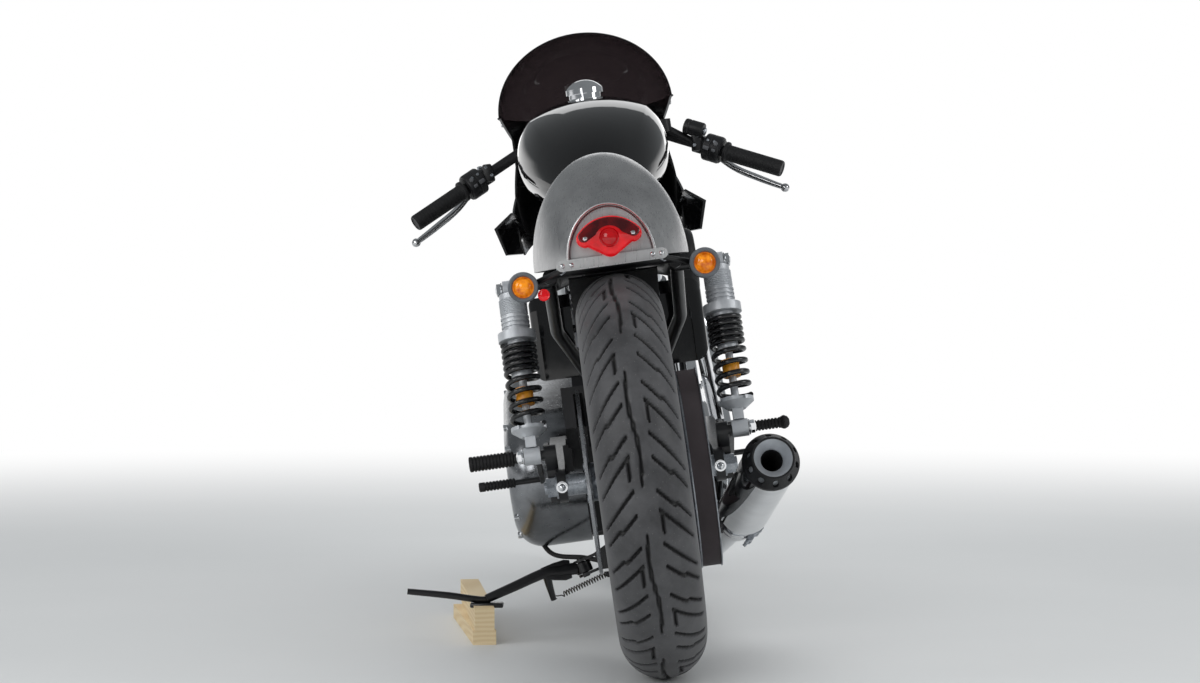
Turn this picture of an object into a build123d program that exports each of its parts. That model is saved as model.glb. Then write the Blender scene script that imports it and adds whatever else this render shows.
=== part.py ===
# Cafe racer motorcycle, leaning on its side stand on two wooden battens.
# Everything is drawn upright first: X to the rider's right, Y forward, Z up, millimetres,
# with Y = 0 at the rear axle and Z = 0 at the ground. The steering is then turned,
# the whole is leaned to the left, and the origin goes to the middle of its footprint.
import os
from math import acos, atan2, cos, degrees, hypot, pi, radians, sin, tan
from build123d import *

# stance
LEAN = 7.8             # degrees to the left
STEER = 1.5            # degrees to the left of straight
WHEELBASE = 1515
RAKE = 30              # steering axis back from upright
FORK_OFFSET = 50       # fork tubes ahead of the steering axis
FIT = 0.3              # air between pieces that are seated on each other
RUN = 0.5              # air between a turning piece and what it turns on
CLEAR = 5              # air around moving pieces

# wheels
REAR_TYRE_R = 320
REAR_TYRE_W = 138
REAR_BEAD_R = 205
REAR_RIM_HALF = 46
FRONT_TYRE_R = 331
FRONT_TYRE_W = 100
FRONT_BEAD_R = 241
FRONT_RIM_HALF = 33
RIM_WALL = 4
FLANGE_RISE = 11
SPOKE_R = 2
SPOKE_COUNT = 36
AXLE_R = 10
HUB_WALL_R = 32
FENDER_GAP = 11         # air between the rear tyre and its fender

# belt drive, on the right
BELT_X = 91
BELT_W = 28.6
BELT_T = 5.5
REAR_PULLEY_R = 149
FRONT_PULLEY_R = 61
PULLEY_LIP = 8
LIP_T = 1.7
GUARD_X = 112.5
GEARBOX_Y = 630
GEARBOX_Z = 350

# brakes
DISC_R = 146
DISC_T = 5
REAR_DISC_X = -82.5
FRONT_DISC_X = -59.5

# frame and swingarm
TUBE_R = 14
RAIL_R = 12
STRUT_R = 11
BACKBONE_R = 20
BACKBONE_END = (0, 520, 747)
CRADLE_X = 60
CRADLE_Z = 125
POST_Y = 500
RAIL_X = 100
PIVOT_Y = 510
PIVOT_Z = 345
ARM_IN = 118
ARM_OUT = 146
ARM_R = 26
SHOCK_X = 166
ARM_TIP = 132                # outer face of the arm's thinner end at the axle
SHOCK_EYE_R = 14
SHOCK_STUD_R = 8
SPRING_R = 25
SPRING_WIRE_R = 4.2
SPRING_RUNS = [(19, 9), (9.6, 10)]    # pitch and half turns, from the foot up

# engine
CASE_HALF = 97
CRANK_Y = 860
CRANK_Z = 370
VEE = 22.5                   # each cylinder from upright
BARREL_R = 52
DECK = 140                   # crank centre to the cylinder's foot
FIN_R = 74
INTAKE_R = 16
INTAKE_Z = 672
INTAKE_REACH = 66.2
FIN_T = 3.6
FIN_PITCH = 12.5

# fork and bars
FORK_X = 95
FORK_R = 19.5
SLIDER_R = 28
SLIDER_TOP = 345             # distances along the fork from the front axle
CLAMP_LOW = 500
CLAMP_HIGH = 638
FORK_TOP = 738
CLIP_ON = FORK_TOP - 36
CLAMP_T = 24
STEM_R = 13
BAR_R = 11
GRIP_R = 16.5
GRIP_IN = (266, -67, -77.3)  # these three are measured from between the two clip-on clamps
GRIP_OUT = (368, -104, -128.3)
RESERVOIR = (150, -54, -6)

# bodywork
SHELL = 4
COWL_BASE_Z = 2 * REAR_TYRE_R + 20      # the tail rides just above the tyre
SEAT_Z = COWL_BASE_Z + 16
RAIL_Z = COWL_BASE_Z - 10
STRIP_Z = COWL_BASE_Z + 1.5
STRIP_T = 3
COWL_END_Y = -88
PANEL_Y = -68                # front face of the panel behind the tail light
PANEL_T = 4
SHOCK_TOP = (100, COWL_BASE_Z - 20)     # y, z
TANK_CAP_Y = 850
TANK_CAP_R = 36
TANK_TOP = 989
LAMP_R = 79
STAY_R = 9
STAY_BAR_Y = 1290

# side stand, given in the leaned pose
STAND_PIVOT = (-118, 470, 142)
STAND_PIN = (-0.387, 0.09, 0.896)    # direction of the pivot pin
PIN_R = 6
KNUCKLE_H = 20
FOOT_WORLD = (-305, 425, 65)
TANG_WORLD = (-442, 416, 88)
LOWER_BATTEN = (40, 400, 25)
UPPER_BATTEN = (34, 470, 39)
BATTEN_Y = 377
BATTEN_X = -306


# directions of the steering
UP = (0, -sin(radians(RAKE)), cos(radians(RAKE)))
AHEAD = (0, cos(radians(RAKE)), sin(radians(RAKE)))


def resting_height(radius, width, tilt):
    """Height of an axle above the ground when its tyre leans by tilt degrees and touches."""
    crown = width / 2
    return (radius - crown) * cos(radians(tilt)) + crown


def axle_height(radius, width):
    return resting_height(radius, width, LEAN) / cos(radians(LEAN))


REAR_AXLE_Z = axle_height(REAR_TYRE_R, REAR_TYRE_W)
FRONT_TILT = degrees(sin(radians(LEAN)) + sin(radians(STEER)) * sin(radians(RAKE)))
FRONT_AXLE_Z = (resting_height(FRONT_TYRE_R, FRONT_TYRE_W, FRONT_TILT)
                + FORK_OFFSET * sin(radians(STEER)) * sin(radians(LEAN))) / cos(radians(LEAN))
REAR_AXLE = (0, 0, REAR_AXLE_Z)
SHOCK_FOOT = (25, REAR_AXLE_Z + 51.4)
FRONT_AXLE = (0, WHEELBASE, FRONT_AXLE_Z)


def plus(a, b, k=1.0):
    return tuple(p + k * q for p, q in zip(a, b))


def fork_point(t, x=0.0):
    """Point on the line of a fork tube, t above the front axle."""
    return plus((x, FRONT_AXLE[1], FRONT_AXLE[2]), UP, t)


def stem_point(t, x=0.0):
    """Point on the steering axis, level with fork_point(t)."""
    return plus(fork_point(t, x), AHEAD, -FORK_OFFSET)


STEER_AXIS = Axis(stem_point(0), UP)
LAMP_BACK = plus(stem_point(570), (0, 143.3, 69.1))


def spine_z(y):
    """Height of the backbone's axis at y."""
    neck = stem_point(575)
    rise = (neck[2] - BACKBONE_END[2]) / (neck[1] - BACKBONE_END[1])
    return BACKBONE_END[2] + (y - BACKBONE_END[1]) * rise


def rod(p, q, r):
    """Round bar from p to q."""
    direction = Vector(*q) - Vector(*p)
    return extrude(Plane(origin=p, z_dir=direction) * Circle(r), direction.length)


def pipe(points, r, bends, wall=0.0):
    """Tube along straight runs joined by arcs; bends gives one radius or one for each corner."""
    radii = bends if isinstance(bends, (list, tuple)) else [bends] * (len(points) - 2)
    path = FilletPolyline(*points, radius=list(radii)) if len(points) > 2 else Line(*points)
    section = Circle(r) - Circle(r - wall) if wall else Circle(r)
    return sweep(Plane(origin=path @ 0, z_dir=path % 0) * section, path=path)


def side_plate(points, x0, x1):
    """Straight-edged outline in the side view, (y, z) points, between two X."""
    face = make_face(Polyline(*points, close=True))
    return extrude(Plane.YZ.offset(x0) * face, x1 - x0, dir=(1, 0, 0))


def two_circle_face(c1, r1, c2, r2):
    """Outline that wraps two circles in the side view."""
    dy, dz = c2[0] - c1[0], c2[1] - c1[1]
    heading = atan2(dz, dy)
    spread = acos((r1 - r2) / hypot(dy, dz))

    def on(c, r, angle):
        return (c[0] + r * cos(angle), c[1] + r * sin(angle))

    top1, top2 = on(c1, r1, heading + spread), on(c2, r2, heading + spread)
    low1, low2 = on(c1, r1, heading - spread), on(c2, r2, heading - spread)
    edges = [Line(top1, top2), ThreePointArc(top2, on(c2, r2, heading), low2),
             Line(low2, low1), ThreePointArc(low1, on(c1, r1, heading + pi), top1)]
    return make_face(edges)


def wrap(c1, r1, c2, r2, x0, x1):
    """Plate or arm with two round ends, between two X."""
    face = Plane.YZ.offset(x0) * two_circle_face(c1, r1, c2, r2)
    return extrude(face, x1 - x0, dir=(1, 0, 0))


def disc(y, z, r, x0, x1):
    """Round slab or bar across the bike."""
    return extrude(Plane.YZ.offset(x0) * Pos(y, z) * Circle(r), x1 - x0, dir=(1, 0, 0))


def spun(points):
    """Closed outline of (x, radius) points spun about the X axis."""
    return revolve(make_face(Polyline(*points, close=True)), Axis.X, 360)


def both(shape):
    """A shape and its mirror image on the other side of the bike."""
    return [shape, mirror(shape, Plane.YZ)]


def ring_sector(r_in, r_out, x0, x1, start, sweep_deg):
    """Part of a ring about the X axis; angles run from +Y up towards +Z."""
    face = make_face(Polyline((x0, r_in), (x1, r_in), (x1, r_out), (x0, r_out), close=True))
    return Rot(start, 0, 0) * revolve(face, Axis.X, sweep_deg)


# wheels


def tyre(radius, width, bead_r, rim_half):
    crown = width / 2
    shoulder = radius - crown
    bead_x = rim_half - RIM_WALL - FIT
    seat_r = bead_r + FIT
    lip_r = bead_r + FLANGE_RISE + 2
    side = [(bead_x, seat_r), (bead_x, lip_r - 1), (rim_half + 2, lip_r + 4), (crown, shoulder)]
    line = Polyline(*[(-x, r) for x, r in reversed(side)], *side)
    arc = ThreePointArc((crown, shoulder), (0, radius), (-crown, shoulder))
    return revolve(make_face([line, arc]), Axis.X, 360)


def rim(bead_r, half):
    well_r = bead_r - 15
    well_x = half * 0.4
    lip_r = bead_r + FLANGE_RISE
    right = [(well_x, well_r), (well_x + 9, bead_r - 2), (half - RIM_WALL, bead_r), (half - RIM_WALL, lip_r),
             (half, lip_r), (half, bead_r - RIM_WALL), (well_x + 10, bead_r - 2 - RIM_WALL),
             (well_x + 2, well_r - RIM_WALL)]
    left = [(-x, r) for x, r in reversed(right)]
    return spun(right + left)


def spokes(flange_x, hub_r, well_r, count):
    """Crossed spokes from the two hub flanges to the rim's well."""
    bars = []
    for i in range(count):
        side = 1 if i % 2 else -1
        lead = 42 if (i // 2) % 2 else -42
        rim_angle = 360 / count * i
        hub_angle = rim_angle + lead
        p = (side * flange_x, hub_r * cos(radians(hub_angle)), hub_r * sin(radians(hub_angle)))
        q = (side * 6, well_r * cos(radians(rim_angle)), well_r * sin(radians(rim_angle)))
        bars.append(rod(p, q, SPOKE_R))
    return bars


def wire_wheel(bead_r, rim_half, left_end, right_end, flange_x, flange_r):
    hub = spun([(left_end, AXLE_R + RUN), (left_end, 30), (-flange_x - 4, 34), (-flange_x - 4, flange_r),
                (-flange_x + 4, flange_r), (-flange_x + 8, HUB_WALL_R), (flange_x - 8, HUB_WALL_R),
                (flange_x - 4, flange_r), (flange_x + 4, flange_r), (flange_x + 4, 34), (right_end, 30),
                (right_end, AXLE_R + RUN)])
    well = bead_r - 15 - RIM_WALL / 2
    return hub + rim(bead_r, rim_half) + spokes(flange_x, flange_r - 4, well, SPOKE_COUNT)


def brake_disc(x, carrier_end):
    """Ring with a slotted carrier that reaches the hub at carrier_end."""
    half = DISC_T / 2
    plate = disc(0, 0, DISC_R, x - half, x + half) - disc(0, 0, 22, x - half, x + half)
    for i in range(6):
        plate -= Rot(60 * i, 0, 0) * disc(78, 0, 24, x - half, x + half)
    near, far = sorted((x, carrier_end))
    boss = disc(0, 0, 32, near, far) - disc(0, 0, 22, near, far)
    return plate + boss


def rear_pulley(x_hub):
    lip_out = REAR_PULLEY_R + PULLEY_LIP
    x0, x1 = BELT_X - BELT_W / 2 - RUN, BELT_X + BELT_W / 2 + RUN
    ring = spun([(x0 - LIP_T, 136), (x0 - LIP_T, lip_out), (x0, lip_out), (x0, REAR_PULLEY_R),
                 (x1, REAR_PULLEY_R), (x1, lip_out), (x1 + LIP_T, lip_out), (x1 + LIP_T, 136)])
    web = disc(0, 0, 138, 84, 94) - disc(0, 0, 22, 84, 94)
    for i in range(5):
        web -= Rot(72 * i + 20, 0, 0) * disc(88, 0, 30, 84, 94)
    boss = disc(0, 0, 40, x_hub, 94) - disc(0, 0, 22, x_hub, 94)
    return ring + web + boss


def at_rear(shape):
    return Pos(*REAR_AXLE) * shape


def at_front(shape):
    return Pos(*FRONT_AXLE) * shape


REAR_HUB_LEFT = -78
REAR_HUB_RIGHT = 74


def rear_hub_wheel():
    return wire_wheel(REAR_BEAD_R, REAR_RIM_HALF, REAR_HUB_LEFT, REAR_HUB_RIGHT, 42, 52)


def front_hub_wheel():
    return wire_wheel(FRONT_BEAD_R, FRONT_RIM_HALF, -55, 55, 36, 44)


# belt drive


def drive_belt():
    x0, x1 = BELT_X - BELT_W / 2, BELT_X + BELT_W / 2
    rear, front = (0, REAR_AXLE_Z), (GEARBOX_Y, GEARBOX_Z)
    gap = RUN
    outer = wrap(rear, REAR_PULLEY_R + gap + BELT_T, front, FRONT_PULLEY_R + gap + BELT_T, x0, x1)
    return outer - wrap(rear, REAR_PULLEY_R + gap, front, FRONT_PULLEY_R + gap, x0, x1)


def drive_pulley():
    x0, x1 = BELT_X - BELT_W / 2 - RUN, BELT_X + BELT_W / 2 + RUN
    body = disc(GEARBOX_Y, GEARBOX_Z, FRONT_PULLEY_R, x0, x1)
    body += disc(GEARBOX_Y, GEARBOX_Z, 12, 68 + FIT, x0)
    return body + disc(GEARBOX_Y, GEARBOX_Z, 18, x1, x1 + 5)


def belt_guard():
    """Plate below the lower run, hung from the right arm."""
    outline = [(40, 218), (150, 178), (330, 212), (330, 240), (160, 214), (60, 246)]
    plate = side_plate(outline, GUARD_X, GUARD_X + 3)
    tab = side_plate([(150, 190), (190, 196), (190, 326), (150, 324)], GUARD_X, ARM_IN - FIT)
    return plate + tab


# axles


def hexagon(y, z, r, x0, x1):
    face = Plane.YZ.offset(x0) * Pos(y, z) * RegularPolygon(r, 6)
    return extrude(face, x1 - x0, dir=(1, 0, 0))


def rear_axle():
    y, z = 0, REAR_AXLE_Z
    bar = disc(y, z, AXLE_R, -ARM_TIP - 21, ARM_TIP + 21)
    for x in (ARM_TIP, -ARM_TIP - 17):
        bar += hexagon(y, z, 17, x, x + 17)
    bar += disc(y, z, 19, ARM_TIP, ARM_TIP + 3) + disc(y, z, 19, -ARM_TIP - 3, -ARM_TIP)
    right = disc(y, z, 17, 94 + RUN, ARM_IN)
    left = disc(y, z, 17, -ARM_IN, REAR_DISC_X - DISC_T / 2 - RUN)
    return bar + right + left


def axle_adjusters():
    """Bolts that draw the axle back, seated on the round ends of the arms."""
    seat_y = -ARM_R - FIT
    x = (ARM_IN + ARM_TIP) / 2
    place = Pos(x, seat_y, REAR_AXLE_Z) * Rot(90, 0, 0)
    washer = Pos(0, 0, 1.5) * Cylinder(9, 3)
    head = Pos(0, 0, 3) * extrude(RegularPolygon(8.5, 6), 7)
    crown = Pos(0, 0, 10) * Sphere(6) & Pos(0, 0, 13) * Box(20, 20, 10)
    return both(place * (washer + head + crown))


def front_axle():
    y, z = FRONT_AXLE[1], FRONT_AXLE[2]
    bar = disc(y, z, AXLE_R, -132, 132)
    bar += disc(y, z, 15, 55 + RUN, 67) + disc(y, z, 15, -67, -62 - RUN)
    return bar + hexagon(y, z, 15, 124, 132) + hexagon(y, z, 15, -132, -124)


# swingarm and frame


def swingarm():
    arm = wrap((0, REAR_AXLE_Z), ARM_R, (PIVOT_Y, PIVOT_Z), 29, ARM_IN, ARM_OUT)
    arm -= disc(0, REAR_AXLE_Z, AXLE_R + FIT, ARM_IN, ARM_OUT)
    arm -= Pos((ARM_TIP + ARM_OUT) / 2 + 5, 20 - 40, REAR_AXLE_Z) * Box(ARM_OUT - ARM_TIP + 10, 80, 80)
    arm += disc(PIVOT_Y, PIVOT_Z, 27, 100, ARM_IN + 4)
    arm -= disc(PIVOT_Y, PIVOT_Z, AXLE_R + FIT, 100, ARM_OUT)
    y, z = SHOCK_FOOT
    lug = wrap((y, z), 14, (y + 18, REAR_AXLE_Z + 10), 16, 128, ARM_OUT)
    stud = disc(y, z, SHOCK_STUD_R, ARM_OUT, SHOCK_X + 16)
    arm += lug + stud
    cross = side_plate([(425, 318), (455, 318), (455, 372), (425, 372)], -ARM_IN, ARM_IN)
    return Part() + both(arm) + cross


def stand_plane():
    """At the stand's pivot, Z along its pin and X towards the frame."""
    return Plane(origin=STAND_PIVOT, x_dir=(1, 0, 0.43), z_dir=to_bike(STAND_PIN))


def stand_clevis():
    """Two ears with the pin, on a broad tapered bracket that is welded to the left cradle tube."""
    gap = KNUCKLE_H / 2 + RUN
    ear_t = 5
    parts = [Cylinder(PIN_R, 2 * gap + 14)]
    for z in (gap, -gap - ear_t):
        parts.append(Pos(20, 0, z) * extrude(RectangleRounded(66, 34, 14), ear_t))
    half = gap + ear_t
    web = make_face(Polyline((27, -half), (88, -half - 16), (88, half + 14), (27, half), close=True))
    block = extrude(Plane.XZ * web, 18, both=True)
    pocket = make_face(Polyline((33, -half + 3), (82, -half - 9), (82, half + 7), (33, half - 3), close=True))
    parts.append(block - Pos(0, 16, 0) * extrude(Plane.XZ * pocket, 14, both=True))
    return stand_plane() * (Part() + parts)


def frame():
    neck = stem_point
    tube = rod(neck(CLAMP_LOW + 14 + 6), neck(CLAMP_HIGH - 14 - 6), 27)
    spine = rod(neck(575), BACKBONE_END, BACKBONE_R) + Pos(*BACKBONE_END) * Sphere(BACKBONE_R)
    x = CRADLE_X
    throat = plus(neck(520, x), AHEAD, -82)
    low = pipe([neck(585, 14), throat, (x, 1035, 240), (x, 1000, CRADLE_Z), (x, 560, CRADLE_Z),
                (x, POST_Y, 200), (x, POST_Y, RAIL_Z + 12)], TUBE_R, [40, 120, 60, 60, 60])
    rail = pipe([(x, POST_Y, RAIL_Z + 5), (RAIL_X, 330, RAIL_Z - 10), (RAIL_X, 40, RAIL_Z)], RAIL_R, [60])
    strut = pipe([(55, POST_Y, 375), (62, 360, 478), (104, 250, 560), (104, 105, RAIL_Z - 2)], STRUT_R, 60)
    arch = rod((x, POST_Y, RAIL_Z + 5), plus(BACKBONE_END, (10, -3, -5)), TUBE_R)
    y, z = SHOCK_TOP
    stud = disc(y, z, SHOCK_STUD_R, RAIL_X, SHOCK_X + 16)
    mount = side_plate([(620, 118), (650, 118), (650, 164), (620, 164)], 48, 72)
    mount += side_plate([(940, 118), (970, 118), (970, 164), (940, 164)], 48, 72)
    side = low + rail + strut + arch + stud + mount
    cross = [disc(PIVOT_Y, PIVOT_Z, 22, -99.5, 99.5),
             disc(PIVOT_Y, PIVOT_Z, AXLE_R, -ARM_OUT - 18, ARM_OUT + 18),
             disc(40, RAIL_Z + 6, 10, -RAIL_X, RAIL_X),
             disc(560, CRADLE_Z, 11, -x, x),
             disc(985, CRADLE_Z, 11, -x, x)]
    posts = [rod((0, at, spine_z(at)), (0, at, top), 13) for at, top in ((1000, 830), (570, 800))]
    posts = [post - Pos(0, 0, -FIT) * fuel_tank() for post in posts]
    lamp_room = Pos(0, LAMP_BACK[1] - FIT + 50, LAMP_BACK[2]) * Box(100, 100, 100)
    stay = rod(neck(570), LAMP_BACK, STAY_R) - lamp_room
    body = tube + spine + both(side) + cross + posts + stay
    body += rod((-x, 560, CRADLE_Z), (-x, 470, 138), TUBE_R)
    body += stand_clevis()
    bore = rod(neck(CLAMP_LOW), neck(CLAMP_HIGH), STEM_R + RUN)
    return body - bore


# engine


def deck_point(side, out):
    """Point on a cylinder's deck, out from its axis; side is +1 front, -1 rear."""
    a = radians(VEE)
    return (CRANK_Y + side * (DECK * sin(a) + out * cos(a)), CRANK_Z + DECK * cos(a) - out * sin(a))


def crankcase():
    main = side_plate([(706, 200), (760, 168), (960, 165), (1000, 215), (1006, 400), deck_point(1, 60),
                       deck_point(1, -DECK * tan(radians(VEE))), deck_point(-1, 60), (706, 440)],
                      -CASE_HALF, CASE_HALF)
    gearbox = side_plate([(560, 250), (600, 190), (706, 180), (706, 440), (640, 440), (575, 420)],
                         -CASE_HALF, 68)
    feet = side_plate([(615, 165), (655, 165), (655, 200), (615, 200)], 40, 76)
    return main + gearbox + both(feet)


def cylinder(lean_deg, side):
    """Finned barrel, head and rocker box, built on Z and leaned; side is +1 front, -1 rear."""
    body = Pos(0, 0, (DECK + FIT + 265) / 2) * Cylinder(BARREL_R, 265 - DECK - FIT)
    rows = 9
    for i in range(rows):
        body += Pos(0, 0, 150 + i * FIN_PITCH) * Cylinder(FIN_R, FIN_T)
    head_z = 150 + rows * FIN_PITCH
    body += Pos(0, 0, head_z + 35) * Box(104, 96, 84)
    for i in range(6):
        fin = Box(156, 136, FIN_T)
        body += Pos(0, 0, head_z + 2 + i * 12.5) * fillet(fin.edges().filter_by(Axis.Z), 24)
    rocker = Box(136, 112, 46)
    rocker = fillet(rocker.edges().filter_by(Axis.Z), 22)
    rocker = fillet(rocker.faces().sort_by(Axis.Z)[-1].edges(), 10)
    body += Pos(0, 0, head_z + 77 + 22) * rocker
    trim = Pos(0, 300 + 4, 300) * Box(400, 600, 900)
    body = Rot(-lean_deg * side, 0, 0) * body
    keep = trim if side > 0 else mirror(trim, Plane.XZ)
    body = body & keep
    return Pos(0, CRANK_Y, CRANK_Z) * body - intake(INTAKE_R + FIT)


def intake(r):
    """Straight manifold between the two heads."""
    return rod((0, CRANK_Y - INTAKE_REACH, INTAKE_Z), (0, CRANK_Y + INTAKE_REACH, INTAKE_Z), r)


def cylinders():
    return [cylinder(VEE, 1), cylinder(VEE, -1)]


def primary_cover():
    face_args = ((892, 330), 150, (694, 296), 128)
    cover = wrap(*face_args, -235, -CASE_HALF - FIT)
    outer_edges = cover.faces().sort_by(Axis.X)[0].edges()
    cover = fillet(outer_edges, 52)
    dome = disc(800, 300, 46, -239, -230)
    return cover + dome


def right_covers():
    gear = wrap((925, 355), 78, (795, 330), 66, CASE_HALF + FIT, 150)
    gear = fillet(gear.faces().sort_by(Axis.X)[-1].edges(), 14)
    sprocket = wrap((GEARBOX_Y + 10, GEARBOX_Z), 92, (GEARBOX_Y + 50, GEARBOX_Z - 10), 84, 112, 126)
    sprocket = fillet(sprocket.faces().sort_by(Axis.X)[-1].edges(), 6)
    stand_off = [disc(718, 300, 8, CASE_HALF + FIT, 112), disc(718, 400, 8, CASE_HALF + FIT, 112)]
    sprocket -= wrap((925, 355), 78 + 2, (795, 330), 66 + 2, 100, 160)
    return [gear, sprocket + stand_off]


def air_cleaner():
    y, z = CRANK_Y, INTAKE_Z - 20
    can = fillet(disc(y, z, 68, 112, 168).faces().sort_by(Axis.X)[-1].edges(), 16)
    return can + disc(y, INTAKE_Z, 24, 0, 112) + intake(INTAKE_R)


# exhaust

HEADER_R = 22
MUFFLER_R = 44
MUFFLER_FRONT = (155, 400, 186)
MUFFLER_END = (209, -20, 321)


def head_port(side):
    """Centre of an exhaust port on the outer face of a head."""
    t, out = 300, 68 + FIT
    a = radians(VEE)
    return (44, CRANK_Y + side * (t * sin(a) + out * cos(a)), CRANK_Z + t * cos(a) - out * sin(a))


def exhaust_headers():
    a = radians(VEE)
    front, rear = head_port(1), head_port(-1)
    front_out, rear_out = (0, cos(a), -sin(a)), (0, -cos(a), -sin(a))
    collector = pipe([front, plus(front, front_out, 30), (126, 1076, 580), (132, 1060, 260), (112, 960, 139),
                      (109, 520, 139), MUFFLER_FRONT], HEADER_R, [24, 50, 150, 80, 150])
    second = pipe([rear, plus(rear, rear_out, 46), (150, 628, 560), (166, 640, 330), (140, 560, 205),
                   (128, 500, 160)], 19, [26, 60, 90, 60])
    return collector + second


def muffler_axis():
    return Vector(*MUFFLER_END) - Vector(*MUFFLER_FRONT)


def muffler_frame():
    return Plane(origin=MUFFLER_FRONT, z_dir=muffler_axis())


def muffler():
    length = muffler_axis().length
    profile = Polyline((HEADER_R + FIT, 4), (HEADER_R + 5, 4), (HEADER_R + 5, 34), (MUFFLER_R, 110),
                       (MUFFLER_R, length - 32), (MUFFLER_R - 3, length - 32), (MUFFLER_R - 3, 112),
                       (HEADER_R + FIT, 37), close=True)
    can = muffler_frame() * revolve(Plane.XZ * make_face(profile), Axis.Z, 360)
    bands = []
    for y in (12, 30):
        ring = Circle(HEADER_R + 8) - Circle(HEADER_R + 4)
        bands.append(muffler_frame() * Pos(0, 0, y) * extrude(ring, 8))
    return can + bands


CAP_SLOTS = 10
OUTLET_R = 18
OUTLET_LENGTH = 44


def muffler_cap():
    """Cone-shaped cap with a ring of oval slots milled through it."""
    end = muffler_axis().length
    sleeve, rim_r = MUFFLER_R - 3.3, MUFFLER_R + 2
    outside = [(sleeve, end - 60), (sleeve, end - 31.5), (rim_r, end - 31.5), (rim_r, end - 24), (34, end)]
    inside = [(31, end), (31, end - 5), (42, end - 27), (37.5, end - 32), (37.5, end - 60)]
    profile = Polyline(*outside, *inside, close=True)
    cap = revolve(Plane.XZ * make_face(profile), Axis.Z, 360)
    on_cone = Plane(origin=(40, 0, end - 12), x_dir=(-1, 0, 2), z_dir=(2, 0, 1))
    slot = extrude(on_cone * SlotOverall(16, 9.5), 7, both=True)
    slots = [Rot(0, 0, 360 / CAP_SLOTS * i) * slot for i in range(CAP_SLOTS)]
    return muffler_frame() * (cap - slots)


def muffler_core():
    """Bright funnel inside the cap, which shows through the slots and leads to the outlet."""
    end = muffler_axis().length
    profile = Polyline((OUTLET_R, end - 60), (OUTLET_R, end - 60 + OUTLET_LENGTH), (30.2, end - 0.5),
                       (31 - FIT, end - 0.5), (31 - FIT, end - 5.2), (41.5, end - 27), (37.2, end - 31.5),
                       (37.2, end - 60), close=True)
    return muffler_frame() * revolve(Plane.XZ * make_face(profile), Axis.Z, 360)


# bodywork


def tank_section(y, low, wide, z_low, z_wide, z_shoulder, top):
    """Tank section: flat floor, bulged side and crowned top."""
    shoulder = wide * 0.78
    edges = [Line((-low, z_low), (low, z_low)),
             ThreePointArc((low, z_low), (wide, z_wide), (shoulder, z_shoulder)),
             ThreePointArc((shoulder, z_shoulder), (0, top), (-shoulder, z_shoulder)),
             ThreePointArc((-shoulder, z_shoulder), (-wide, z_wide), (-low, z_low))]
    return Plane(origin=(0, y, 0), x_dir=(1, 0, 0), z_dir=(0, -1, 0)) * make_face(edges)


TANK_SECTIONS = [  # y, half floor, half width, floor z, widest z, shoulder z, top z
    (480, 52, 66, 772, 806, 838, 852),
    (590, 92, 116, 790, 850, 905, 934),
    (720, 112, 139, 804, 885, 950, 976),
    (880, 116, 139, 808, 890, 958, 990),
    (990, 96, 120, 813, 885, 940, 968),
    (1052, 62, 84, 826, 872, 908, 925),
]


def fuel_tank():
    body = loft([tank_section(*row) for row in TANK_SECTIONS])
    tunnel = rod(BACKBONE_END, stem_point(575), BACKBONE_R + 6)
    neck = Pos(0, TANK_CAP_Y, TANK_TOP - 6 - FIT + 30) * Cylinder(TANK_CAP_R - 5 + FIT, 60)
    return body - tunnel - neck


def tank_cap():
    neck_r = TANK_CAP_R - 5
    line = Polyline((0, 36), (0, -6), (neck_r, -6), (neck_r, 8), (TANK_CAP_R, 8), (TANK_CAP_R, 18))
    dome = ThreePointArc((TANK_CAP_R, 18), (TANK_CAP_R * 0.6, 31), (5, 36))
    outline = make_face([line, dome, Line((5, 36), (0, 36))])
    return Pos(0, TANK_CAP_Y, TANK_TOP) * revolve(Plane.XZ * outline, Axis.Z, 360)


def seat():
    pad = side_plate([(132, SEAT_Z + FIT), (478, SEAT_Z + FIT), (478, SEAT_Z + 62), (330, SEAT_Z + 52),
                      (150, SEAT_Z + 66), (132, SEAT_Z + 66)], -108, 108)
    outline = extrude(Pos(0, 305, 600) * Rectangle(216, 346), 400)
    pad = pad & fillet(outline.edges().filter_by(Axis.Z), 30)
    return pad


def arch_face(y, half, base, top, inset=0.0):
    """Upright section with a straight base and an elliptic arch."""
    a, b = half - inset, top - base - inset
    edges = [Line((-a, base), (a, base)), EllipticalCenterArc((0, base), a, b, 0, arc_size=180)]
    return Plane(origin=(0, y, 0), x_dir=(1, 0, 0), z_dir=(0, -1, 0)) * make_face(edges)


COWL_SECTIONS = [  # y, half width, base z, top z
    (130, 112, COWL_BASE_Z, COWL_BASE_Z + 92),
    (50, 123, COWL_BASE_Z, COWL_BASE_Z + 175),
    (-15, 106, COWL_BASE_Z, COWL_BASE_Z + 154),
    (COWL_END_Y, 70, COWL_BASE_Z, COWL_BASE_Z + 90),
]


def tail_cowl():
    outer = loft([arch_face(*row) for row in COWL_SECTIONS])
    inner_rows = [(row[0], row[1] - SHELL, row[2], row[3] - SHELL) for row in COWL_SECTIONS]
    hollow = loft([arch_face(*row) for row in inner_rows])
    shell = outer - hollow
    panels = [outer & Pos(0, y, COWL_BASE_Z) * Box(300, PANEL_T, 400) for y in (PANEL_Y - PANEL_T / 2, 128)]
    pan = extrude(Pos(0, 308, SEAT_Z - 6) * Rectangle(212, 356), 6)
    return shell + panels + pan


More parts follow.
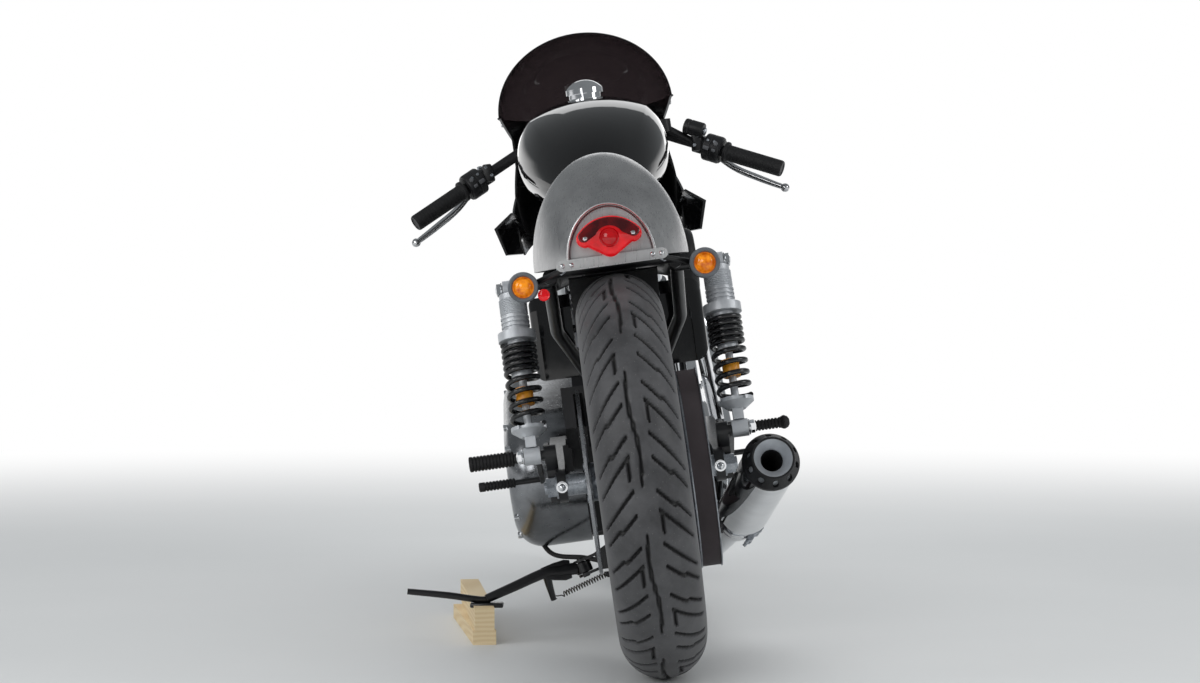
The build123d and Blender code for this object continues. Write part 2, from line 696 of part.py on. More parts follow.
def tail_light():
    """Flattened arc over two round screw ears, with a shallow pointed foot that hangs over the strip."""
    half = [(0, 0), (7, 1.5), (34, 18.8), (50.8, 31.5), (45.5, 43), (0, 63.1)]    # foot to crown
    left = [(-x, z) for x, z in half]
    edges = [ThreePointArc(left[1], half[0], half[1]), Line(half[1], half[2]), ThreePointArc(*half[2:5]),
             ThreePointArc(half[4], half[5], left[4]), ThreePointArc(*left[4:1:-1]), Line(left[2], left[1])]
    almond = make_face(edges)
    face = Plane.XZ * almond
    body = extrude(face, 24, dir=(0, -1, 0))
    body = chamfer(body.faces().sort_by(Axis.Y)[0].edges(), 5)
    strip_back = COWL_END_Y - STRIP_T - FIT
    depth = PANEL_Y - PANEL_T - FIT - strip_back
    above_strip = STRIP_Z + 8.5 + FIT - (COWL_BASE_Z + 5.5)
    back = extrude(face, depth, dir=(0, 1, 0)) & Pos(0, 0, above_strip + 50) * Box(120, 60, 100)
    lens = Pos(0, -26, 30) * Rot(90, 0, 0) * Cylinder(15, 6)
    return Pos(0, strip_back, COWL_BASE_Z + 5.5) * (body + back + lens)


def plate_strip():
    """Strip with round ends and a lip bent back along its lower edge."""
    place = Plane(origin=(0, COWL_END_Y, STRIP_Z), x_dir=(1, 0, 0), z_dir=(0, -1, 0))
    strip = extrude(place * SlotOverall(173, 17), STRIP_T, dir=(0, -1, 0))
    lip = Pos(0, COWL_END_Y - STRIP_T - 3.5, STRIP_Z - 7.5) * Box(152, 9, 2)
    return strip + lip


INDICATOR = (142, -50, COWL_BASE_Z - 22)


def indicators():
    x, y, z = INDICATOR
    shell = Pos(x, y, z) * Rot(90, 0, 0) * Cylinder(23.8, 34)
    shell -= Pos(x, y - 14, z) * Rot(90, 0, 0) * Cylinder(17.2, 12)
    shell = shell + (Pos(x, y + 17, z) * Sphere(23.8))
    foot_z = COWL_BASE_Z - 4.2
    foot = Pos(80, COWL_END_Y + FIT + 5, foot_z) * Rot(90, 0, 0) * Cylinder(3.8, 10)
    stalk = rod((x - 18, y + 10, z + 4), (80, COWL_END_Y + 7, foot_z - 1), 4.5)
    return both(shell + stalk + foot)


def indicator_lenses():
    x, y, z = INDICATOR
    lens = Pos(x, y - 12, z) * Rot(90, 0, 0) * Cylinder(16.8, 7)
    dome = Pos(x, y - 2, z) * Sphere(20) & Pos(x, y - 19, z) * Rot(90, 0, 0) * Cylinder(16.8, 7)
    return both(lens + dome)


# shock absorbers


def shock_line():
    top = Vector(SHOCK_X, *SHOCK_TOP)
    foot = Vector(SHOCK_X, *SHOCK_FOOT)
    return foot, top


def shock_plane():
    foot, top = shock_line()
    return Plane(origin=foot, x_dir=(1, 0, 0), z_dir=top - foot)


SPRING_START = 52
SPRING_LENGTH = sum(pitch / 2 * halves for pitch, halves in SPRING_RUNS)


def coil(radius, wire, runs):
    """Coil of half rings: each half lies in its own tilted plane and the next carries on."""
    halves = []
    z = 0.0
    for pitch, count in runs:
        rise = pitch / 2
        ring = revolve(Plane.XZ * Pos(hypot(radius, rise / 2), 0) * Circle(wire), Axis.Z, 180)
        tilted = Rot(0, degrees(atan2(rise / 2, radius)), 0) * ring
        for _ in range(count):
            turn = 180 * (len(halves) % 2)
            halves.append(Pos(0, 0, z + rise / 2) * Rot(0, 0, turn) * tilted)
            z += rise
    return halves


def shock_springs():
    halves = coil(SPRING_R, SPRING_WIRE_R, SPRING_RUNS)
    spring = Part() + [Pos(0, 0, SPRING_START) * h for h in halves]
    return both(shock_plane() * spring)


def shock_bodies():
    foot, top = shock_line()
    length = (top - foot).length
    eye = Pos(0, 0, length) * Rot(0, 90, 0) * (Cylinder(SHOCK_EYE_R, 26) - Cylinder(SHOCK_STUD_R + FIT, 26))
    start = SPRING_START + SPRING_LENGTH + SPRING_WIRE_R + FIT
    tube = Pos(0, 0, (start + length - 10) / 2) * Cylinder(21, length - 10 - start)
    inner = Pos(0, 0, start - 30) * Cylinder(17, 60)
    collar = Pos(0, 0, start + 7) * Cylinder(29, 14)
    ribs = [Pos(0, 0, start + 24 + 7 * i) * Cylinder(23, 3) for i in range(3)]
    bore = Pos(0, 0, length) * Rot(0, 90, 0) * Cylinder(SHOCK_STUD_R + FIT, 60)
    body = tube + inner + collar + ribs + eye - bore
    return both(shock_plane() * body)


def shock_rods():
    seat_z = SPRING_START - SPRING_WIRE_R - FIT
    eye = Rot(0, 90, 0) * (Cylinder(SHOCK_EYE_R, 26) - Cylinder(SHOCK_STUD_R + FIT, 26))
    clevis = Pos(0, 0, 22.5) * Box(17, 22, 19)
    cup_line = Polyline((0, seat_z), (28.5, seat_z), (28.5, seat_z - 6), (14, seat_z - 17), (0, seat_z - 17),
                        close=True)
    cup = revolve(Plane.XZ * make_face(cup_line), Axis.Z, 360)
    shaft_top = SPRING_START + SPRING_LENGTH + SPRING_WIRE_R - 60
    shaft = Pos(0, 0, (seat_z + shaft_top) / 2) * Cylinder(6.2, shaft_top - seat_z)
    notches = [Rot(0, 0, 90 * i + 20) * Pos(26, 0, seat_z - 3) * Box(9, 11, 6) for i in range(4)]
    body = eye + clevis + (cup - notches) + shaft
    return both(shock_plane() * body)


def bump_stops():
    z = SPRING_START + 46
    ring = Cylinder(14, 28) - Cylinder(6.2 + FIT, 28)
    return both(shock_plane() * Pos(0, 0, z) * ring)


# fender, tanks under the seat and foot controls


def rear_fender():
    inner = REAR_TYRE_R + FENDER_GAP
    start = 6
    skin = at_rear(ring_sector(inner, inner + 3, -72, 72, start, 70))
    y, z = (inner + 1) * cos(radians(start)), REAR_AXLE_Z + (inner + 1) * sin(radians(start))
    end = 425 - FIT
    tab = side_plate([(y, z + 12), (y + 15, z - 3), (end, PIVOT_Z + 7), (end, PIVOT_Z + 21)], -30, 30)
    return skin + tab


def side_covers():
    top = RAIL_Z - 28
    outline = [(388, 478), (560, 478), (575, 500), (575, top - 2), (400, top), (388, top - 22)]
    left = side_plate(outline, -150, -78)
    left = fillet(left.faces().sort_by(Axis.X)[0].edges(), 14)
    right = side_plate(outline, 78, 150)
    right = fillet(right.faces().sort_by(Axis.X)[-1].edges(), 24)
    pins = [disc(POST_Y, 560, 7, CRADLE_X + TUBE_R + FIT, 78)]
    return [right + pins, left + [mirror(p, Plane.YZ) for p in pins]]


PEG_Y = 428
PEG_Z = 350
PLATE_X = ARM_OUT + 4


def foot_controls():
    """Rear-set plates with the peg carriers, shift lever and brake lever."""
    plate = wrap((PIVOT_Y, PIVOT_Z), 22, (PEG_Y, PEG_Z), 17, PLATE_X, PLATE_X + 8)
    plate -= disc(PIVOT_Y, PIVOT_Z, AXLE_R + FIT, PLATE_X, PLATE_X + 8)
    carrier = disc(PEG_Y, PEG_Z, 9, PLATE_X + 8, 211)
    lever = wrap((PEG_Y, PEG_Z), 14, (528, 302), 8, PLATE_X + 16, PLATE_X + 24)
    toe = disc(528, 302, 5, PLATE_X + 24, 218)
    side = plate + carrier + lever + toe
    return both(side)


def foot_pegs():
    left = [disc(PEG_Y, PEG_Z, 13.5, -290, -211 - FIT), disc(528, 302, 8.5, -284, -218 - FIT)]
    right = [disc(PEG_Y, PEG_Z, 9.5, 211 + FIT, 273), disc(528, 302, 8.5, 218 + FIT, 262)]
    return left + right


OVERFLOW_ROUTE = [(-194, 690, 196), (-188, 676, 166), (-160, 640, 150), (-118, 604, 146), (-86, 566, 139)]


def overflow_hose():
    """Rubber hose that leaves the underside of the primary cover and hangs inwards."""
    return pipe(OVERFLOW_ROUTE, 4.5, [14, 20, 30]) - Pos(0, 0, -FIT) * primary_cover() - primary_cover()


# fairing, screen and lamp

LAMP_Z = LAMP_BACK[2]
FAIRING_BACK = 1085
SCREEN_Z = LAMP_Z + 124
FAIRING_SECTIONS = [  # z, half width, nose y
    (LAMP_Z - 153, 172, 1325),
    (LAMP_Z - 98, 178, 1375),
    (LAMP_Z - 6, 180, 1428),
    (LAMP_Z + 82, 172, 1415),
    (SCREEN_Z, 176, 1375),
]
FLARE_TIP = 214              # half width at the points of the flared lower wings
FLARE_FRONT = 1164


def plan_face(z, half, nose, inset=0.0):
    a, b = half - inset, nose - FAIRING_BACK - inset
    edges = [Line((-a, 0), (a, 0)), EllipticalCenterArc((0, 0), a, b, 0, arc_size=180)]
    return Pos(0, FAIRING_BACK, z) * make_face(edges)


FAIRING_SIDE = [  # y and height from the lamp's centre, round the side outline
    (1105, 124), (1215, 86), (1238, 32), (1215, -32), (FLARE_FRONT - 6, -66), (FLARE_FRONT - 6, -152),
    (1395, -78), (1450, -18), (1450, 124),
]


FLARE_CUTS = [  # y, half widths at the top, the tip and the foot
    (FAIRING_BACK + 3, 176, FLARE_TIP, 198),
    (FLARE_FRONT, 170.5, 171.5, 167),
]


def flare_face(y, top, tip, foot):
    """Cut through a flared wing at y, a bent strip as thick as the shell."""
    outer = [(top, -66), (tip, -94), (foot, -150)]
    inner = [(foot - SHELL, -149), (tip - SHELL - 2, -95), (top - SHELL, -69)]
    strip = make_face(Polyline(*[(x, LAMP_Z + dz) for x, dz in outer + inner], close=True))
    return Plane(origin=(0, y, 0), x_dir=(1, 0, 0), z_dir=(0, -1, 0)) * strip


def fairing():
    side = side_plate([(y, LAMP_Z + dz) for y, dz in FAIRING_SIDE], -230, 230)
    outer = loft([plan_face(*row) for row in FAIRING_SECTIONS]) & side
    inner = loft([plan_face(*row, inset=SHELL) for row in FAIRING_SECTIONS])
    lamp_hole = Pos(0, 1400, LAMP_Z) * Rot(90, 0, 0) * Cylinder(LAMP_R + 3, 200)
    flare = loft([flare_face(*cut) for cut in FLARE_CUTS], ruled=True)
    return outer - inner - lamp_hole + both(flare)


def screen():
    a, b, c = FAIRING_SECTIONS[-1][1], 290, 154
    wall = 3
    outer = Pos(0, FAIRING_BACK, SCREEN_Z) * scale(Sphere(1), by=(a, b, c))
    inner = Pos(0, FAIRING_BACK, SCREEN_Z) * scale(Sphere(1), by=(a - wall, b - wall, c - wall))
    foot, top = SCREEN_Z + FIT, SCREEN_Z + c
    side = side_plate([(1105, foot), (1130, top), (1400, top), (1400, foot)], -200, 200)
    return (outer - inner) & side


def headlight():
    x, y, z = LAMP_BACK
    bowl = Pos(x, y + 40, z) * Rot(90, 0, 0) * Cylinder(LAMP_R, 80)
    bowl = fillet(bowl.faces().sort_by(Axis.Y)[0].edges(), 28)
    lens = Pos(x, y + 84, z) * Rot(90, 0, 0) * Cylinder(LAMP_R - 5, 8)
    return bowl + lens


def fairing_stay():
    """Cross bar that lies on the frame's stay and reaches both walls of the fairing."""
    neck = stem_point(570)
    rise = (LAMP_BACK[2] - neck[2]) / (LAMP_BACK[1] - neck[1])
    z = neck[2] + (STAY_BAR_Y - neck[1]) * rise + (STAY_R + 7) * hypot(1, rise) + FIT
    half = 137.0
    return disc(STAY_BAR_Y, z, 7, -half, half)


# steering


def fork_rod(x, t0, t1, r):
    return rod(fork_point(t0, x), fork_point(t1, x), r)


def clamp_plane(t):
    return Plane(origin=stem_point(t), x_dir=(1, 0, 0), z_dir=UP)


def triple_clamps():
    parts = [rod(stem_point(CLAMP_LOW - 12), stem_point(CLAMP_HIGH + 12), STEM_R)]
    for t in (CLAMP_LOW, CLAMP_HIGH):
        block = extrude(clamp_plane(t) * Pos(0, FORK_OFFSET / 2) * RectangleRounded(230, 96, 30), CLAMP_T / 2,
                        both=True)
        holes = [fork_rod(s * FORK_X, t - 30, t + 30, FORK_R + FIT) for s in (-1, 1)]
        parts.append(block - holes)
    return Part() + parts


def fork_tubes():
    return [fork_rod(s * FORK_X, SLIDER_TOP + FIT, FORK_TOP, FORK_R) for s in (-1, 1)]


def fork_sliders():
    legs = []
    for s in (-1, 1):
        leg = fork_rod(s * FORK_X, -34, SLIDER_TOP, SLIDER_R)
        hole = disc(FRONT_AXLE[1], FRONT_AXLE[2], AXLE_R + FIT, s * FORK_X - 40, s * FORK_X + 40)
        legs.append(leg - hole)
    return legs


def clip_ons():
    bars = []
    for s in (-1, 1):
        clamp = fork_rod(s * FORK_X, CLIP_ON - 16, CLIP_ON + 16, FORK_R + 9)
        clamp -= fork_rod(s * FORK_X, CLIP_ON - 20, CLIP_ON + 20, FORK_R + FIT)
        bar = rod(bar_point(s, -1.44), bar_point(s, 1), BAR_R)
        bars.append(clamp + bar)
    return bars


def bar_point(s, k):
    """Point on the bar's axis; k is 0 at the inner end of the grip and 1 at its outer end."""
    x, y, z = (a + k * (b - a) for a, b in zip(GRIP_IN, GRIP_OUT))
    return plus((s * x, y, z), fork_point(CLIP_ON))


def grips():
    out = []
    for s in (-1, 1):
        grip = rod(bar_point(s, 0), bar_point(s, 1), GRIP_R)
        flange = rod(bar_point(s, -0.02), bar_point(s, 0.04), GRIP_R + 5)
        out.append(grip + flange - rod(bar_point(s, -0.1), bar_point(s, 1.1), BAR_R + FIT))
    return out


def switchgear():
    out = []
    for s in (-1, 1):
        pod = rod(bar_point(s, -0.36), bar_point(s, -0.06), 23)
        pod -= rod(bar_point(s, -0.5), bar_point(s, 0.1), BAR_R + FIT)
        perch_a = bar_point(s, -0.56)
        perch_b = bar_point(s, -0.40)
        perch = rod(perch_a, bar_point(s, -0.34), 18)
        perch += rod(plus(perch_b, (s * -8, 6, 2)), plus(perch_b, (s * 2, 44, 14)), 11)
        body = pod + perch
        if s > 0:
            reservoir = plus(RESERVOIR, fork_point(CLIP_ON))
            body += Pos(*reservoir) * Cylinder(16, 26)
            body += rod(perch_a, plus(reservoir, (6, 0, -6)), 8)
        out.append(body - rod(bar_point(s, -1.4), bar_point(s, 0.1), BAR_R + FIT))
    return out


def levers():
    out = []
    for s in (-1, 1):
        root = plus(bar_point(s, -0.40), (s * -5.5, 55.1, 14.7))
        mid = plus(bar_point(s, 0.12), (0, 60, -20))
        tip = plus(bar_point(s, 1.0), (s * 7, 56, -36))
        blade = pipe([root, mid, tip], 5.5, 60) + Pos(*tip) * Sphere(9)
        out.append(blade)
    return out


def front_fender():
    skin = at_front(ring_sector(FRONT_TYRE_R + 12, FRONT_TYRE_R + 15, -58, 58, 38, 112))
    stays = []
    for s in (-1, 1):
        x0, x1 = s * 58, s * (FORK_X - SLIDER_R - FIT)
        outline = [(200, -14), (FRONT_TYRE_R + 14, -14), (FRONT_TYRE_R + 14, 14), (200, 14)]
        stays.append(at_front(Rot(120, 0, 0) * side_plate(outline, min(x0, x1), max(x0, x1))))
    return skin + stays


def caliper(x, angle):
    """Two-piece block over the disc, open where the disc runs."""
    half = 18
    block = ring_sector(94, 164, x - half - 8, x + half + 2, angle - 17, 34)
    slot_half = DISC_T / 2 + CLEAR
    slot = disc(0, 0, DISC_R + CLEAR, x - slot_half, x + slot_half)
    return block - slot


def rear_caliper():
    block = at_rear(caliper(REAR_DISC_X, 50))
    rise = REAR_AXLE_Z + 17
    lug = side_plate([(60, rise), (110, rise + 2), (130, rise + 34), (80, rise + 42)], -ARM_IN + FIT,
                     REAR_DISC_X - 22)
    return block + lug


def front_caliper():
    body = caliper(FRONT_DISC_X, 162)
    lug = ring_sector(104, 150, FRONT_DISC_X - 26, FRONT_DISC_X - 12, 118, 32)
    body = at_front(body + lug)
    return body - fork_rod(-FORK_X, -34, SLIDER_TOP, SLIDER_R + FIT)


# side stand


def to_bike(point):
    """From the leaned pose back to the upright drawing."""
    a = radians(LEAN)
    x, y, z = point
    return (x * cos(a) + z * sin(a), y, -x * sin(a) + z * cos(a))


def side_stand():
    foot = to_bike(plus(FOOT_WORLD, (0, 0, 9)))
    tang = to_bike(TANG_WORLD)
    knee = to_bike((-205, 452, 116))
    leg = pipe([STAND_PIVOT, knee, foot], 10, 60)
    knuckle = stand_plane() * Cylinder(15, KNUCKLE_H)
    flat = rod(foot, tang, 6)
    pad = Rot(0, LEAN, 0) * Pos(*plus(FOOT_WORLD, (0, 0, 4 + FIT))) * Box(60, 34, 8)
    above = Pos(0, 0, KNUCKLE_H / 2 + 20) * Box(60, 60, 40)
    below = Pos(0, 0, -KNUCKLE_H / 2 - 20) * Box(60, 60, 40)
    trimmed = leg - stand_plane() * (above + below)
    return trimmed + knuckle + flat + pad - stand_plane() * Cylinder(PIN_R + RUN, 80)


def wood_battens():
    out = []
    z = 0
    for (width, length, height), turn in ((LOWER_BATTEN, 8), (UPPER_BATTEN, 6)):
        place = Pos(BATTEN_X, BATTEN_Y, z + height / 2) * Rot(0, 0, turn)
        out.append(place * Pos(0, length / 2, 0) * Box(width, length, height))
        z += height
    return out


def steered(shape):
    return shape.rotate(STEER_AXIS, STEER)


def listed(shape):
    return list(shape) if isinstance(shape, (list, tuple)) else [shape]


LEANED = Rot(0, -LEAN, 0)
CHASSIS = [
    frame, swingarm, rear_axle, axle_adjusters, crankcase, cylinders, primary_cover, right_covers,
    air_cleaner, exhaust_headers, muffler, muffler_cap, muffler_core, fuel_tank, tank_cap, seat,
    tail_cowl, tail_light, plate_strip, indicators, indicator_lenses, shock_bodies, shock_springs,
    shock_rods, bump_stops, rear_fender, side_covers, foot_controls, foot_pegs, overflow_hose, fairing,
    screen, headlight, fairing_stay, rear_caliper, drive_pulley, drive_belt, belt_guard,
]
STEERING = [
    triple_clamps, fork_tubes, fork_sliders, front_axle, clip_ons, grips, switchgear, levers,
    front_fender, front_caliper,
]


def build():
    """Every node's solids in the leaned pose, by name."""
    nodes = {}
    for make in CHASSIS:
        nodes[make.__name__] = [LEANED * s for s in listed(make())]
    for make in STEERING:
        nodes[make.__name__] = [LEANED * steered(s) for s in listed(make())]
    front = {
        "front_tyre": tyre(FRONT_TYRE_R, FRONT_TYRE_W, FRONT_BEAD_R, FRONT_RIM_HALF),
        "front_wheel": front_hub_wheel(),
        "front_disc": brake_disc(FRONT_DISC_X, -55),
    }
    for name, shape in front.items():
        nodes[name] = [LEANED * steered(at_front(shape))]
    rear = {
        "rear_tyre": tyre(REAR_TYRE_R, REAR_TYRE_W, REAR_BEAD_R, REAR_RIM_HALF),
        "rear_wheel": rear_hub_wheel(),
        "rear_disc": brake_disc(REAR_DISC_X, REAR_HUB_LEFT),
        "rear_pulley": rear_pulley(REAR_HUB_RIGHT),
    }
    for name, shape in rear.items():
        nodes[name] = [LEANED * at_rear(shape)]
    nodes["side_stand"] = [LEANED * side_stand()]
    nodes["wood_battens"] = wood_battens()
    return nodes


def centred(nodes):
    """Move everything so that the origin is under the middle of the footprint."""
    box = Compound([s for shapes in nodes.values() for s in shapes]).bounding_box()
    shift = (-(box.min.X + box.max.X) / 2, -(box.min.Y + box.max.Y) / 2, -box.min.Z)
    return shift, {name: [Pos(*shift) * s for s in shapes] for name, shapes in nodes.items()}


def main():
    os.makedirs("parts", exist_ok=True)
    shift, nodes = centred(build())
    print("origin shift", [round(v, 3) for v in shift])
    for name, shapes in nodes.items():
        solids = [solid for s in shapes for solid in s.solids()]
        whole = solids[0] if len(solids) == 1 else Compound(children=solids)
        export_step(whole, os.path.join("parts", name + ".step"))


if __name__ == "__main__":
    main()
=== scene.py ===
import math
import bpy
from mathutils import Matrix, Vector


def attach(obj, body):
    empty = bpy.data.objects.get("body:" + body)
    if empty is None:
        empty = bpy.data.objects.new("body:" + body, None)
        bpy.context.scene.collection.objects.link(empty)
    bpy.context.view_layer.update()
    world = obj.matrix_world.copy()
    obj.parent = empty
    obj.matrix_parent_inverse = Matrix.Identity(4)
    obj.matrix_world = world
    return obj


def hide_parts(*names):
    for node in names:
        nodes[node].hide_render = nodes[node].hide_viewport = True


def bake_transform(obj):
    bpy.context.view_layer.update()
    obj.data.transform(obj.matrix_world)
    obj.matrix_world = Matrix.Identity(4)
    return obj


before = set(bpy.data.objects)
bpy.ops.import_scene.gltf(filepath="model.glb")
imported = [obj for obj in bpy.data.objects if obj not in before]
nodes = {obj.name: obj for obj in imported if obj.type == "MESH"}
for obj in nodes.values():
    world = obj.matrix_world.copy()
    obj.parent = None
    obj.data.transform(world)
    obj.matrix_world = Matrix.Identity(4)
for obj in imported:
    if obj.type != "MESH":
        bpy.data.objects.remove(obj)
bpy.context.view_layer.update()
print("frame loaded:", len(nodes), "nodes")

# How the motorcycle stands in the frame. Pieces are modelled upright, in metres from the ground under
# the rear axle, X to the rider's right and Y forward, and then leaned and moved to their place.
stance = {
    "lean": 7.8,                                  # degrees to the left, and so is the steering
    "steer": 1.5,
    "rake": 30,
    "origin": (0.103240, -0.762956, 0.0),         # where the upright drawing's origin stands
    "rearAxle": (0.0, 0.0, 0.320644),
    "frontAxle": (0.0, 1.515, 0.331136),
    "forkOffset": 0.050,
}


def stanceMatrix(steered):
    place = Matrix.Translation(stance["origin"]) @ Matrix.Rotation(math.radians(-stance["lean"]), 4, "Y")
    if not steered:
        return place
    rake = math.radians(stance["rake"])
    up = Vector((0, -math.sin(rake), math.cos(rake)))
    ahead = Vector((0, math.cos(rake), math.sin(rake)))
    pivot = Vector(stance["frontAxle"]) - ahead * stance["forkOffset"]
    turn = Matrix.Rotation(math.radians(stance["steer"]), 4, up)
    return place @ Matrix.Translation(pivot) @ turn @ Matrix.Translation(-pivot)


uprightToFrame = stanceMatrix(False)
steeredToFrame = stanceMatrix(True)


# modelling helpers

def clearSelection():
    if bpy.context.object and bpy.context.object.mode != "OBJECT":
        bpy.ops.object.mode_set(mode="OBJECT")
    bpy.ops.object.select_all(action="DESELECT")


def pick(*pieces):
    clearSelection()
    for piece in pieces:
        piece.select_set(True)
    bpy.context.view_layer.objects.active = pieces[0]


def nameNew(name):
    piece = bpy.context.object
    piece.name = name
    piece.data.name = name
    return piece


def applyAll(piece):
    pick(piece)
    for modifier in list(piece.modifiers):
        bpy.ops.object.modifier_apply(modifier=modifier.name)
    return piece


def joinAll(name, parts):
    pick(*parts)
    if len(parts) > 1:
        bpy.ops.object.join()
    return nameNew(name)


def editAll():
    bpy.ops.object.mode_set(mode="EDIT")
    bpy.ops.mesh.select_mode(type="VERT")
    bpy.ops.mesh.select_all(action="SELECT")


def closeEdit(merge=False):
    bpy.ops.mesh.select_all(action="SELECT")
    if merge:
        bpy.ops.mesh.remove_doubles(threshold=1e-6)
    bpy.ops.mesh.normals_make_consistent(inside=False)
    bpy.ops.object.mode_set(mode="OBJECT")


def settle(piece, finish, body="chassis", angle=35, replaced=()):
    # the place goes into the mesh, the object stays at the origin, and the piece rides on its body
    pick(piece)
    bpy.ops.object.transform_apply(location=True, rotation=True, scale=True)
    piece.data.transform(steeredToFrame if body in ("fork", "front_wheel_set") else uprightToFrame)
    bpy.ops.object.shade_smooth_by_angle(angle=math.radians(angle))
    piece.data.materials.clear()
    piece.data.materials.append(made[finish])
    if body:
        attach(piece, body)
    if replaced:
        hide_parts(*replaced)


# materials

def colour(code):
    value = code.lstrip("#")
    linear = []
    for i in (0, 2, 4):
        c = int(value[i:i + 2], 16) / 255
        linear.append(c / 12.92 if c <= 0.04045 else ((c + 0.055) / 1.055) ** 2.4)
    return (*linear, 1.0)


def feed(owner, node, sockets):
    # a socket among the values is linked, any other value is set
    for key, value in sockets.items():
        if isinstance(value, bpy.types.NodeSocket):
            owner.node_tree.links.new(value, node.inputs[key])
        else:
            node.inputs[key].default_value = value


def addNode(owner, kind, sockets=None, **settings):
    node = owner.node_tree.nodes.new(kind)
    for key, value in settings.items():
        setattr(node, key, value)
    feed(owner, node, sockets or {})
    return node


made = {}


def newMaterial(name):
    # gives the material, its shader and the piece's own coordinates
    material = made[name] = bpy.data.materials.new(name)
    material.use_nodes = True
    place = addNode(material, "ShaderNodeTexCoord").outputs["Object"]
    return material, material.node_tree.nodes["Principled BSDF"], place


def noise(owner, place, scale, detail=2.0, roughness=0.5):
    return addNode(owner, "ShaderNodeTexNoise", {"Vector": place, "Scale": scale, "Detail": detail,
                                                 "Roughness": roughness}).outputs["Fac"]


def tint(owner, share, first, second, low=0.0, high=1.0, kind="LINEAR"):
    ramp = addNode(owner, "ShaderNodeValToRGB", {"Fac": share})
    ramp.color_ramp.interpolation = kind
    for stop, at, code in zip(ramp.color_ramp.elements, (low, high), (first, second)):
        stop.position = at
        stop.color = colour(code)
    return ramp.outputs["Color"]


def spread(owner, value, low, high, fromLow=0.0, fromHigh=1.0, kind="LINEAR"):
    return addNode(owner, "ShaderNodeMapRange", {"Value": value, "From Min": fromLow, "From Max": fromHigh,
                                                 "To Min": low, "To Max": high},
                   interpolation_type=kind).outputs["Result"]


def relief(owner, height, strength, depth):
    bump = addNode(owner, "ShaderNodeBump", {"Height": height, "Strength": strength, "Distance": depth})
    return bump.outputs["Normal"]


def mix(owner, share, first, second):
    # a mix node's colours are its inputs 6 and 7 and its output 2
    return addNode(owner, "ShaderNodeMix", {"Factor": share, 6: first, 7: second}, data_type="RGBA").outputs[2]


def maths(owner, operation, first, second):
    return addNode(owner, "ShaderNodeMath", {0: first, 1: second}, operation=operation).outputs[0]


def makeFinish(name, dark, light, grain, roughness, spec):
    # one base with two noises: a broad one that mottles the colour, and a fine one for the gloss and the grain
    material, shader, place = newMaterial(name)
    drawn = addNode(material, "ShaderNodeMapping", {"Vector": place, "Scale": spec.get("stretch", (1, 1, 1))})
    broad = noise(material, place, 1 / spec.get("patch", 0.05), 4.0, 0.6)
    fine = noise(material, drawn.outputs["Vector"], 1 / grain, 3.0)
    feed(material, shader, {
        "Base Color": tint(material, broad, dark, light, 0.3, 0.7),
        "Roughness": spread(material, fine, *roughness, 0.3, 0.7),
        "Normal": relief(material, fine, spec.get("bump", 0.1), spec.get("depth", 0.0002)),
        "Metallic": spec.get("metallic", 0.0),
        "Coat Weight": spec.get("coat", 0.0),
        "Coat Roughness": spec.get("coatRoughness", 0.03),
    })


